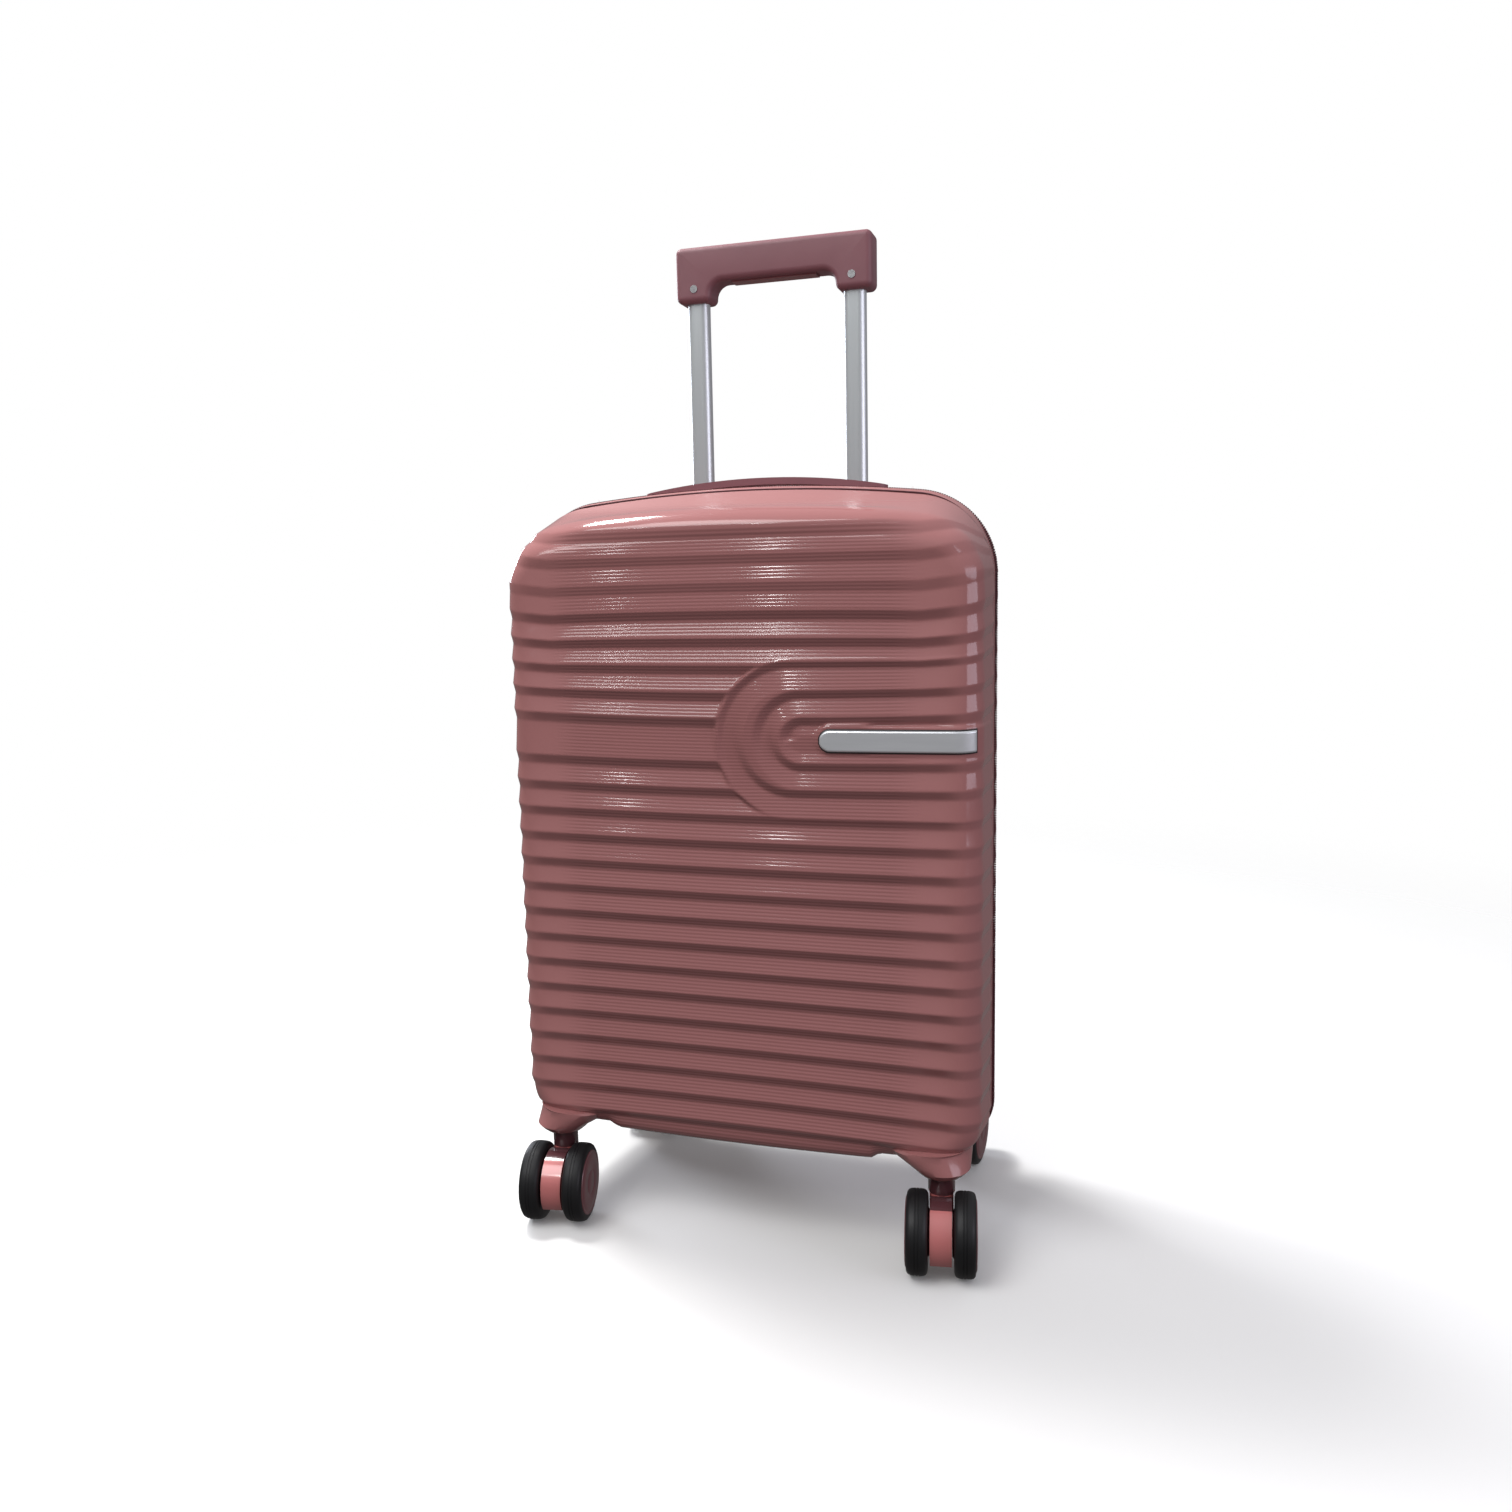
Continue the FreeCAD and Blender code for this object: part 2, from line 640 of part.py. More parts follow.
def zip_slider(z):
    """Slider on the outside of the closed zip with a pin for its pull."""
    body = box(-182.0, -178.35, ZIP_Y - 4.8, ZIP_Y + 4.8, z - 7.5, z + 7.5)
    body = body.makeFillet(2.4, [e for e in body.Edges if e.BoundBox.XLength > 3])
    keel = box(-178.35, -177.5, ZIP_Y - 2.6, ZIP_Y + 2.6, z - 6.5, z + 6.5)
    lug = box(-184.3, -182.0, ZIP_Y - 1.2, ZIP_Y + 1.2, z - 1.2, z + 1.2)
    pin = Part.makeCylinder(PULL_PIN_RADIUS, 6.4, Vector(PULL_X, ZIP_Y - 3.2, z), Vector(0, 1, 0))
    return fuse_all([body, keel, lug, pin])


def zip_pull(z):
    """Flat pull that hangs from the slider's pin by two arms."""
    arms = []
    for y in (ZIP_Y - 3.1, ZIP_Y + 1.4):
        arms.append(box(PULL_X - 1.3, PULL_X + 1.2, y, y + 1.7, z - 7.0, z))
        arms.append(Part.makeCylinder(PULL_EYE_RADIUS, 1.7, Vector(PULL_X, y, z), Vector(0, 1, 0)))
    tab = box(PULL_X - 1.1, PULL_X + 0.7, ZIP_Y - 4.2, ZIP_Y + 4.2, z - 32.0, z - 6.0)
    low_corners = [e for e in tab.Edges if e.BoundBox.XLength > 1.5 and e.BoundBox.ZMax < z - 20]
    tab = tab.makeFillet(3.4, low_corners)
    shape = fuse_all([tab] + arms)
    return shape.cut(Part.makeCylinder(PULL_HOLE_RADIUS, 8, Vector(PULL_X, ZIP_Y - 4, z), Vector(0, 1, 0)))


# Lock ---------------------------------------------------------------------
def lock_box(x0, x1, half_y, z0, z1):
    return box(x0, x1, -half_y, half_y, z0, z1)


def lock_body():
    return lock_box(-16.0, 0.0, LOCK_HALF_WIDTH - 2, 4 - LOCK_HALF_HEIGHT, LOCK_HALF_HEIGHT - 4)


def lock_housing():
    plate = lock_box(0.0, LOCK_PROUD, LOCK_HALF_WIDTH, -LOCK_HALF_HEIGHT, LOCK_HALF_HEIGHT)
    plate = plate.makeFillet(6.0, [e for e in plate.Edges if e.BoundBox.XLength > 2])
    shape = plate.fuse(lock_body()).removeSplitter()
    half_slot = DIAL_THICKNESS / 2 + 0.3
    for z in DIAL_Z:
        shape = shape.cut(lock_box(-11.4, 3.0, DIAL_RADIUS + 0.5, z - half_slot, z + half_slot))
    shape = shape.cut(lock_box(-6.0, 3.0, 5.3, BUTTON_SLOT_Z - 5.3, BUTTON_SLOT_Z + 8.6))
    shape = shape.cut(Part.makeCylinder(6.05, 13.0, Vector(-10.0, 0, KEY_Z), Vector(1, 0, 0)))
    shaft = Part.makeCylinder(1.5, DIAL_Z[-1] - DIAL_Z[0] + 10, Vector(DIAL_X, 0, DIAL_Z[0] - 5))
    return shape.fuse(shaft).removeSplitter().Solids[0]


def lock_dial(z):
    half = DIAL_THICKNESS / 2
    dial = Part.makeCylinder(DIAL_RADIUS, DIAL_THICKNESS, Vector(DIAL_X, 0, z - half))
    return dial.cut(Part.makeCylinder(1.56, 9.0, Vector(DIAL_X, 0, z - half - 2)))


def lock_button():
    thumb = lock_box(-5.6, LOCK_PROUD + 0.9, 5.0, BUTTON_SLOT_Z - 5.0, BUTTON_SLOT_Z + 5.0)
    return thumb.makeFillet(1.0, [e for e in thumb.Edges if e.BoundBox.XMin > LOCK_PROUD])


def lock_key_cylinder():
    core = Part.makeCylinder(6.0, 12.0, Vector(-9.7, 0, KEY_Z), Vector(1, 0, 0))
    return core.cut(box(-2.0, 4.0, -0.6, 0.6, KEY_Z - 3.0, KEY_Z + 3.0))


# Lining and trim ----------------------------------------------------------
def lining(half):
    """Thin fabric skin just inside one half's shell, open at the rim."""
    outer_inset = WALL + LINING_GAP
    end = half["depth"] - outer_inset
    outer = half_solid(half, LINING_START, end, outer_inset)
    inner = half_solid(half, LINING_START - 0.5, end - LINING, outer_inset + LINING)
    return outer.cut(inner).common(box(-200, 200, -200, 200, LINING_BOTTOM, LINING_TOP))


def lining_panels(half):
    """Level panels under the crown and over the casters, inside the skin."""
    inset = WALL + LINING_GAP + LINING + PANEL_GAP
    room = half_solid(half, LINING_START, half["depth"] - inset, inset)
    room = room.cut(box(-HUMP_HALF, HUMP_HALF, HUMP_Y, 200, 0, 600))
    top = box(-200, 200, -200, 200, LINING_TOP - LINING, LINING_TOP)
    bottom = box(-200, 200, -200, 200, LINING_BOTTOM, LINING_BOTTOM + LINING)
    return Part.makeCompound([room.common(top), room.common(bottom)])


def trolley_cover():
    """Stiff channel that covers the handle tubes inside the case."""
    back = ZIP_Y + REAR["depth"] - WALL - LINING_GAP - LINING
    z0 = LINING_BOTTOM
    z1 = LINING_TOP
    outer = box(-HUMP_HALF, HUMP_HALF, HUMP_Y, back, z0, z1)
    inner = box(-HUMP_HALF + LINING, HUMP_HALF - LINING, HUMP_Y + LINING, back + 1, z0 - 1, z1 + 1)
    inset = WALL + LINING_GAP + LINING
    room = half_solid(REAR, LINING_START, REAR["depth"] - inset, inset)
    return outer.cut(inner).common(room).Solids[0]


def mesh_pocket():
    """Open-topped flat pocket on the lid's lining."""
    y_out = ZIP_Y - FRONT["depth"]
    wall = POCKET_WALL
    outer = box(-POCKET_HALF, POCKET_HALF, y_out, POCKET_Y, POCKET_BOTTOM, POCKET_TOP)
    inner = box(wall - POCKET_HALF, POCKET_HALF - wall, y_out - 1, POCKET_Y - wall, POCKET_BOTTOM + wall, 400)
    inset = WALL + LINING_GAP + LINING + 0.2
    room = half_solid(FRONT, LINING_START, FRONT["depth"] - inset, inset)
    return outer.cut(inner).common(room).Solids[0]


def badge(inner_offset, outer_offset, margin):
    """Strip of the lid's outside between two offsets, round at its left end."""
    skin = half_solid(FRONT, 10.0, FRONT["depth"] + outer_offset, -outer_offset)
    core = half_solid(FRONT, 9.0, FRONT["depth"] + inner_offset, -inner_offset)
    half_height = BADGE_HALF_HEIGHT + margin
    centre_x = BADGE_LEFT + BADGE_HALF_HEIGHT
    z0 = BADGE_Z - half_height
    window = box(centre_x, BADGE_RIGHT + margin, -200, ZIP_Y - 20, z0, z0 + 2 * half_height)
    end = Part.makeCylinder(half_height, 200, Vector(centre_x, -200, BADGE_Z), Vector(0, 1, 0))
    return skin.common(window.fuse(end).removeSplitter()).cut(core).Solids[0]


def straps():
    """Two packing straps from the side linings to the buckle."""
    end = wall_x(17.0) - WALL - LINING_GAP - LINING - 0.1
    back = STRAP_Y + STRAP_THICKNESS
    spans = ((BUCKLE_HALF, end), (-end, -BUCKLE_HALF))
    return [box(x0, x1, STRAP_Y, back, STRAP_BOTTOM, STRAP_TOP) for x0, x1 in spans]


def buckle():
    back = BUCKLE_Y + BUCKLE_THICKNESS
    shape = box(-BUCKLE_HALF, BUCKLE_HALF, BUCKLE_Y, back, STRAP_BOTTOM - 4, STRAP_TOP + 4)
    return shape.makeFillet(2.0, [e for e in shape.Edges if e.BoundBox.YLength > BUCKLE_THICKNESS - 1])


# Build --------------------------------------------------------------------
def build():
    nodes = {}
    outside = {}
    cutters = {"front": [], "rear": []}
    mounts = {"front": [], "rear": []}
    screws = {"front": [], "rear": []}
    for key, half in HALVES.items():
        outside[key] = half_solid(half, RIM_GAP, half["depth"], 0.0)
        nodes[key + "_zip_tape"] = zip_tape(half)
        nodes[key + "_lining"] = lining(half)
        nodes[key + "_lining_panels"] = lining_panels(half)

    # Casters
    for caster in CASTERS:
        name = caster[0]
        key = name.split("_")[0]
        own_screws = mount_screws(caster)
        swivel = caster_place(caster)[0]
        mount = caster_mount(caster, outside[key]).cut(own_screws)
        cutters[key] += own_screws
        cutters[key].append(Part.makeCylinder(BOSS_RADIUS, 40, swivel + Vector(0, 0, 60)))
        mounts[key].append(biggest(mount))
        screws[key] += own_screws
        nodes["fork_" + name] = fork(caster)
        tyres, hubs, axle = wheelset(caster)
        nodes["tyres_" + name] = tyres
        nodes["hubs_" + name] = hubs
        nodes["axle_" + name] = axle
    for key in HALVES:
        nodes[key + "_caster_mounts"] = Part.makeCompound(mounts[key])
        nodes[key + "_screws"] = Part.makeCompound(screws[key])

    # Telescopic handle
    cavity = half_solid(REAR, 1.0, REAR["depth"] - WALL - 0.1, WALL + 0.1)
    nodes["trolley_outer_tubes"] = both_sides(
        lambda x: tube(OUTER_TUBE, TUBE_WALL, x, TUBE_Y, TUBE_FOOT, BEZEL_BOTTOM)
    )
    nodes["trolley_foot_bracket"] = foot_bracket(cavity)
    nodes["trolley_bezel"] = bezel(outside["rear"])
    nodes["trolley_cover"] = trolley_cover()
    nodes["middle_tubes"] = both_sides(
        lambda x: tube(MIDDLE_TUBE, TUBE_WALL, x, TUBE_Y, TUBE_FOOT + 10.0, MIDDLE_TUBE_TOP)
    )
    nodes["middle_tube_collars"] = both_sides(middle_collar)
    nodes["inner_tubes"] = both_sides(inner_tube)
    nodes["inner_tube_plugs"] = both_sides(inner_tube_plug)
    nodes["handle_grip"] = grip()
    nodes["grip_rivets"] = grip_rivets()
    nodes["release_button"] = release_button()
    nodes["push_rods"] = both_sides(push_rod)
    nodes["latch_pins"] = both_sides(latch_pin)
    cutters["rear"].append(bezel_core())

    # Carry handles
    def place_top(shape):
        return on_top(shape, TOP_HANDLE_DEPTH)

    def place_side(shape):
        return on_left_wall(shape, SIDE_HANDLE_DEPTH, SIDE_HANDLE_Z)

    crown_sink = STEM_OFFSET**2 / (2 * CROWN_RADIUS)
    top_sockets, top_blocks = handle_sockets(place_top, outside["rear"], crown_sink)
    side_sockets, side_blocks = handle_sockets(place_side, outside["rear"], 0.0)
    nodes["top_handle_mounts"] = Part.makeCompound(top_sockets)
    nodes["side_handle_mounts"] = Part.makeCompound(side_sockets)
    nodes["top_handle"] = place_top(carry_handle(TOP_HANDLE_PEAK, TOP_HANDLE_DROP))
    nodes["side_handle"] = place_side(carry_handle(SIDE_HANDLE_PEAK, SIDE_HANDLE_DROP))

    # Lock and zip
    def place_lock(shape):
        return on_left_wall(shape, LOCK_DEPTH, LOCK_Z)

    nodes["lock_housing"] = place_lock(lock_housing())
    for index, z in enumerate(DIAL_Z):
        nodes["lock_dial_" + str(index + 1)] = place_lock(lock_dial(z))
    nodes["lock_button"] = place_lock(lock_button())
    nodes["lock_key_cylinder"] = place_lock(lock_key_cylinder())
    for key, z in SLIDER_Z.items():
        nodes["zip_slider_" + key] = zip_slider(z)
        nodes["zip_pull_" + key] = zip_pull(z)

    # Openings in the rear shell and its lining
    lock_room = lock_box(-18.0, 1.0, LOCK_HALF_WIDTH - 0.5, 2.5 - LOCK_HALF_HEIGHT, LOCK_HALF_HEIGHT - 2.5)
    cutters["rear"] += top_blocks + side_blocks + [place_lock(lock_body())]
    liner = nodes["rear_lining"].cut(place_lock(lock_room))
    for side in (-1, 1):
        z = side * STEM_OFFSET
        liner = liner.cut(place_side(box(-SOCKET_ROOM - 1, 0, -8.4, 8.4, z - 9.9, z + 9.9)))
    hump = box(-HUMP_HALF, HUMP_HALF, HUMP_Y, 200, 0, 600)
    gussets = {key: hinge_gusset(half) for key, half in HALVES.items()}
    nodes["rear_lining"] = Part.makeCompound(liner.cut(hump).Solids + [gussets["rear"]])
    nodes["front_lining"] = Part.makeCompound(nodes["front_lining"].Solids + [gussets["front"]])

    # Inside and badge
    nodes["packing_straps"] = Part.makeCompound(straps())
    nodes["strap_buckle"] = buckle()
    nodes["mesh_pocket"] = mesh_pocket()
    nodes["badge_gasket"] = badge(0.0, 0.5, 1.2)
    nodes["badge_plate"] = badge(0.5, 1.9, 0.0)

    for key, half in HALVES.items():
        hollow = half_solid(half, RIM_GAP - 0.5, half["depth"] - WALL, WALL)
        nodes[key + "_shell"] = biggest(outside[key].cut(hollow).cut(cutters[key]))
    return nodes


os.makedirs("parts", exist_ok=True)
for node_name, node_shape in build().items():
    save(node_shape, node_name)
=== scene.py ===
"""Looks of a rose hard shell cabin suitcase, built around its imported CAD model.

Lengths are in millimetres and turned into Blender's metres as each mesh is made.
X points to the case's right, Y to its back and Z up, as in the CAD.
"""

import json
import math

import bmesh
import bpy
import numpy as np
from mathutils import Matrix, Vector


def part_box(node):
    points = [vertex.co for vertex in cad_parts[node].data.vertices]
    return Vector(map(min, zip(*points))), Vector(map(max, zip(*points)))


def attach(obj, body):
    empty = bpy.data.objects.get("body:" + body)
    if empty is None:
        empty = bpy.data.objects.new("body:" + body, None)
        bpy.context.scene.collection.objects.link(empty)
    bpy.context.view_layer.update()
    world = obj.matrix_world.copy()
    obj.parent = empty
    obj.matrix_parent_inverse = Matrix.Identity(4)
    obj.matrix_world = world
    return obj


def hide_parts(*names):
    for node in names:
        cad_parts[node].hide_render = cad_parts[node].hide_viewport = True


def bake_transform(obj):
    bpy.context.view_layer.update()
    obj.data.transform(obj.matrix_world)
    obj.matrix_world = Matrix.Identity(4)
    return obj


MM = 0.001
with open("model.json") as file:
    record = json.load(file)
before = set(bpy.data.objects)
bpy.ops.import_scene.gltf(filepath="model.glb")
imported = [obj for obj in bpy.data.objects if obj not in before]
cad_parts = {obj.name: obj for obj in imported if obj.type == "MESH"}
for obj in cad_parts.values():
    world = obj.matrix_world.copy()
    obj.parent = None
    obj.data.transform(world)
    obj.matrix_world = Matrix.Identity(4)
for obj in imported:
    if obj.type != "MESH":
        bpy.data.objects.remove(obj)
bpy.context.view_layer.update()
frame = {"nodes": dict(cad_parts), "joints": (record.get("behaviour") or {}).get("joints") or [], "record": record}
nodes = frame["nodes"]


def cad_box_mm(node):
    """Lowest and highest corner of a CAD node, in millimetres."""
    low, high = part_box(node)
    return [v / MM for v in low], [v / MM for v in high]


# Sizes of the case, as in the CAD --------------------
ZIP_Y = -16.5
RIM_GAP = 3.5
CROWN_RADIUS = 1136.0
CROWN_ENDS = (121.0, 134.0)
CROWN_FADE = (380.0, 474.0)
WALL = 3.0
WALL_SLANT = 6.0
# Outlines: half width, top, bottom, top corner radius, bottom corner radius.
RIM = (178.0, 549.0, 68.0, 60.0, 32.0)
FRONT_FACE = (173.0, 524.0, 74.0, 42.0, 30.0)
REAR_FACE = (162.0, 535.0, 76.0, 48.0, 28.0)
FRONT = {"sign": -1, "depth": 70.0, "face": FRONT_FACE, "round": 16.0, "bulge": 1712.0}
REAR = {"sign": 1, "depth": 102.0, "face": REAR_FACE, "round": 18.0, "bulge": 1e9}

# Ribs: heights of the crest lines, from the top, and the sawtooth between them.
LOWEST_CREST = 91.9
RIB_PITCH = 18.92
UPPER_CRESTS = [516.9, 498.7, 479.8, 460.7, 442.2, 423.6, 404.9, 386.8, 356.6, 337.5]
CRESTS = UPPER_CRESTS + [LOWEST_CREST + RIB_PITCH * k for k in range(12, -1, -1)]
UNDERCUT = 7.0
SCOOPED_ABOVE = 475.0
SCOOP_SHARE = 0.55
BROW = 2.0
WALL_RIB_SHARE = 0.42
FAR = 99.0
CREST_LEVEL = 0.9
VALLEY_LEVEL = -2.7
INNER_LEVEL = -1.2
FRAME_LEVEL = -1.6
FRAME_DEPTH = 14.0

# Horseshoe round the badge: left end of each outline's centre, and radius.
BADGE_Z = 372.0
BADGE_SEAT = 9.4
HORSESHOES = ((46.0, 55.0), (52.7, 34.0), (54.0, 15.8))
INNER_EDGE = 3.0

# Row warp: height in rib space, and how far the row's ends rise.
WARP_AT = (0.0, 66.0, 92.0, 200.0, 320.0, 380.0, 427.0, 499.0, 520.0, 560.0, 590.0, 660.0)
WARP_BY = (0.0, 0.0, -7.0, -3.2, 0.3, 3.0, 8.0, 13.5, 12.0, 4.0, 0.0, 0.0)

# Caster stems: distance from the middle plane and Y, by the half's sign.
STEMS = {-1: (146.5, ZIP_Y - 50.0), 1: (131.0, ZIP_Y + 84.0)}

# Hardware on the deep half: Y and Z of the middles on its side, and Y on its top.
LOCK = (8.0, 330.0)
SIDE_HANDLE = (43.5, 300.0)
TOP_HANDLE_Y = 15.5
BEZEL_Y = 55.5
HANDLE_REACH = 84.0


def smooth(low, high, value):
    t = np.clip((value - low) / (high - low), 0.0, 1.0)
    return t * t * (3 - 2 * t)


def mix(a, b, share):
    return a + (b - a) * share


# Shell surface --------------------
def unrolled_reach(half):
    """Length from the start of the rounded edge to the rim, along the surface."""
    return half["round"] * math.pi / 2 + half["depth"] - half["round"] - RIM_GAP + WALL_SLANT


def sides_of(half, b):
    """Whether b is in the upper half, the corner's radius, and b's way past its centre."""
    _, top, bottom, top_corner, bottom_corner = half["face"]
    high = b > (top + bottom) / 2
    corner = np.where(high, top_corner, bottom_corner)
    past = np.where(high, b - top + top_corner, bottom + bottom_corner - b)
    return high, corner, np.maximum(past, 0.0)


def shell_point(half, a, b, rim_depth=RIM_GAP):
    """Surface point for a place on the half's unrolled face and walls.

    Returns x, y, z and the depth from the zip plane.
    """
    half_width, top, bottom, top_corner, bottom_corner = half["face"]
    radius = half["round"]
    high, corner, out_z = sides_of(half, b)
    corner_x = half_width - corner
    out_x = np.maximum(np.abs(a) - corner_x, 0.0)
    from_corner = np.hypot(out_x, out_z)
    safe = np.maximum(from_corner, 1e-9)
    way_x, way_z = out_x / safe, out_z / safe
    past = np.maximum(radius - (corner - from_corner), 0.0)

    face_depth = half["depth"] - np.minimum(np.abs(a), half_width) ** 2 / (2 * half["bulge"])
    quarter = radius * math.pi / 2
    turn = np.minimum(past, quarter) / radius
    share = np.maximum(past - quarter, 0.0) / (unrolled_reach(half) - quarter)
    depth = mix(face_depth - radius * (1 - np.cos(turn)), rim_depth, share)
    inset = radius - radius * np.sin(turn)

    rise = depth / face_depth
    values = [mix(r, f, rise) for r, f in zip(RIM, half["face"])]
    corner_here = np.where(high, values[3], values[4])
    centre_x = values[0] - corner_here
    centre_z = np.where(high, values[1] - values[3], values[2] + values[4])
    low_z = values[2] + values[4]
    straight = top - top_corner - bottom - bottom_corner
    side_z = mix(low_z, values[1] - values[3], (b - bottom - bottom_corner) / straight)
    reach = corner_here - inset
    edge_x = np.where(out_x > 0, centre_x + way_x * reach, np.abs(a) * centre_x / corner_x)
    edge_z = np.where(out_z > 0, centre_z + np.where(high, 1, -1) * way_z * reach, side_z)
    flat = past <= 0
    x = np.sign(a) * np.where(flat, np.abs(a), edge_x)
    z = np.where(flat, b, edge_z)
    crown_x = np.minimum(np.abs(x), mix(*CROWN_ENDS, rise))
    z = z - smooth(*CROWN_FADE, z) * crown_x**2 / (2 * CROWN_RADIUS)
    return x, ZIP_Y + half["sign"] * depth, z, depth


def spaced(stops):
    """Rising values that pass each (value, step to the next stop)."""
    values = []
    for (start, step), (end, _) in zip(stops, stops[1:]):
        count = max(1, round((end - start) / step))
        values += [start + (end - start) * k / count for k in range(count)]
    return np.array(values + [stops[-1][0]])


def shell_grid(half, columns, rows):
    """Unrolled places (a, b) of a grid, and each place's height in rib space."""
    half_width = half["face"][0]
    over = unrolled_reach(half) - half["round"]
    wide = half_width + over
    across, rib_height = np.meshgrid(columns * wide, rows)
    share = np.minimum(np.abs(across) / RIM[0], 1.0) ** 2
    b = rib_height + np.interp(rib_height, WARP_AT, WARP_BY) * share
    _, corner, up = sides_of(half, b)
    corner_x = half_width - corner
    big = corner + over
    row_wide = corner_x + np.sqrt(np.maximum(big**2 - up**2, 0.0))
    beyond = np.maximum(np.abs(across) - corner_x, 0) * (row_wide - corner_x) / (wide - corner_x)
    a = np.sign(across) * np.where(np.abs(across) > corner_x, corner_x + beyond, np.abs(across))
    return a, b, rib_height


def rows_for(half, fine):
    """Heights of the grid's rows, closer together at the rounded ends."""
    _, top, bottom, top_corner, bottom_corner = half["face"]
    over = unrolled_reach(half) - half["round"]
    high_corner, low_corner = top_corner + over, bottom_corner + over
    low_centre, high_centre = bottom + bottom_corner, top - top_corner
    turn = math.radians(38.0)
    low_end = low_centre - low_corner * math.sin(turn)
    high_end = high_centre + high_corner * math.sin(turn)
    steps = max(4, round((math.pi / 2 - turn) * 60 / fine))
    bends = np.linspace(math.pi / 2, turn, steps)
    low_part = low_centre - low_corner * np.sin(bends[:-1])
    high_part = (high_centre + high_corner * np.sin(bends[:-1]))[::-1]
    count = round((high_end - low_end) / fine)
    return np.concatenate([low_part, np.linspace(low_end, high_end, count), high_part])


def surface_normals(points):
    """Unit normals of a grid of points, rows by columns."""
    along = np.gradient(points, axis=1)
    up = np.gradient(points, axis=0)
    normal = np.cross(along, up)
    length = np.linalg.norm(normal, axis=2, keepdims=True)
    return normal / np.maximum(length, 1e-12)


# Ribs --------------------
def sawtooth(x, height):
    """Rib level at a height in rib space: a sharp crest over a dark undercut."""
    brow = BROW * smooth(138.0, 100.0, np.abs(x))
    level = CREST_LEVEL + brow * smooth(CRESTS[0] + 26.0, CRESTS[0], height)
    for upper, lower in zip(CRESTS, CRESTS[1:] + [CRESTS[-1] - 24.0]):
        drop = np.clip((upper - height) / UNDERCUT, 0, 1)
        climb = np.clip((upper - UNDERCUT - height) / (upper - UNDERCUT - lower), 0, 1)
        start = CREST_LEVEL + (brow if upper == CRESTS[0] else 0.0)
        hollow = VALLEY_LEVEL
        if upper > SCOOPED_ABOVE:
            hollow = mix(CREST_LEVEL, VALLEY_LEVEL, SCOOP_SHARE)
        else:
            drop, climb = 1 - (1 - drop) ** 1.15, climb**1.1
        down, rise = mix(start, hollow, drop), mix(hollow, CREST_LEVEL, climb)
        band = np.where(height > upper - UNDERCUT, down, rise)
        level = np.where((height <= upper) & (height > lower), band, level)
    return level


def horseshoe(x, height):
    """Rib level inside the horseshoe, and how far inside its outer edge."""
    distances = [
        radius - np.hypot(np.minimum(x - centre, 0), height - BADGE_Z) for centre, radius in HORSESHOES
    ]
    turn = np.arctan2(height - BADGE_Z, np.maximum(HORSESHOES[0][0] - x, 0) + 1e-6)
    upper = np.full(x.shape, CREST_LEVEL)
    lower = upper
    for index, distance in enumerate(distances):
        innermost = index == len(distances) - 1
        width = HORSESHOES[index][1] - (INNER_EDGE if innermost else HORSESHOES[index + 1][1])
        high_band = groove(distance, width, INNER_LEVEL if innermost else CREST_LEVEL)
        low_band = groove(width - distance, width, CREST_LEVEL)
        if innermost:
            low_band = mix(CREST_LEVEL, INNER_LEVEL, np.clip(distance / UNDERCUT, 0, 1))
        upper = np.where(distance > 0, high_band, upper)
        lower = np.where(distance > 0, low_band, lower)
    return mix(lower, upper, smooth(-0.9, 0.9, turn)), distances[0]


def groove(into, width, end):
    """Level on the way over a ring: down the groove at its start, then up to its end."""
    fall = np.clip(into / (UNDERCUT - 1), 0, 1)
    climb = np.clip((into - UNDERCUT + 1) / (width - UNDERCUT + 1), 0, 1)
    return mix(mix(CREST_LEVEL, VALLEY_LEVEL, fall), end, climb)


def rounded_box_distance(u, v, half_u, half_v, corner):
    du = np.abs(u) - half_u + corner
    dv = np.abs(v) - half_v + corner
    return np.hypot(np.maximum(du, 0), np.maximum(dv, 0)) + np.minimum(np.maximum(du, dv), 0) - corner


def shell_level(half, points, height, depth):
    """How far the shell stands off its smooth base surface."""
    x, y, z = points[..., 0], points[..., 1], points[..., 2]
    level = sawtooth(x, height)
    if half is FRONT:
        inner, distance = horseshoe(x, height)
        level = mix(level, inner, smooth(-0.6, 1.4, distance))
        round_end = rounded_box_distance(x - 122.0, height - BADGE_Z - 0.6, 57.5, BADGE_SEAT, 9.0)
        straight = rounded_box_distance(x - 150.0, z - BADGE_Z, 60.0, BADGE_SEAT, 2.0)
        badge = np.where(x > 100, straight, round_end)
        level = mix(0.0, level, smooth(0.0, 1.6, np.where(y < ZIP_Y - 20, badge, FAR)))
    level = mix(level, 0.0, smooth(CRESTS[-1] - 8.0, CRESTS[-1] - 22.0, height))
    if half is FRONT:
        last_groove = smooth(CRESTS[-1] + 1.0, CRESTS[-1] - 2.0, height)
        level = mix(level, CREST_LEVEL * 0.3, smooth(100.0, 130.0, np.abs(x)) * last_groove)
        level = level + smooth(86.0, 76.0, z) * mix(-1.2, 2.2, smooth(104.0, 97.0, np.abs(x)))
    level = mix(0.0, level, mix(1.0, WALL_RIB_SHARE, smooth(146.0, 166.0, np.abs(x))))
    for pad in pads(half, x, y, z):
        level = mix(0.0, level, smooth(0.0, 2.0, pad))
    frame_level = mix(FRAME_LEVEL, 0.0, smooth(505.0, 530.0, z)) if half is FRONT else FRAME_LEVEL
    return mix(frame_level, level, smooth(FRAME_DEPTH - 1.0, FRAME_DEPTH + 1.6, depth))


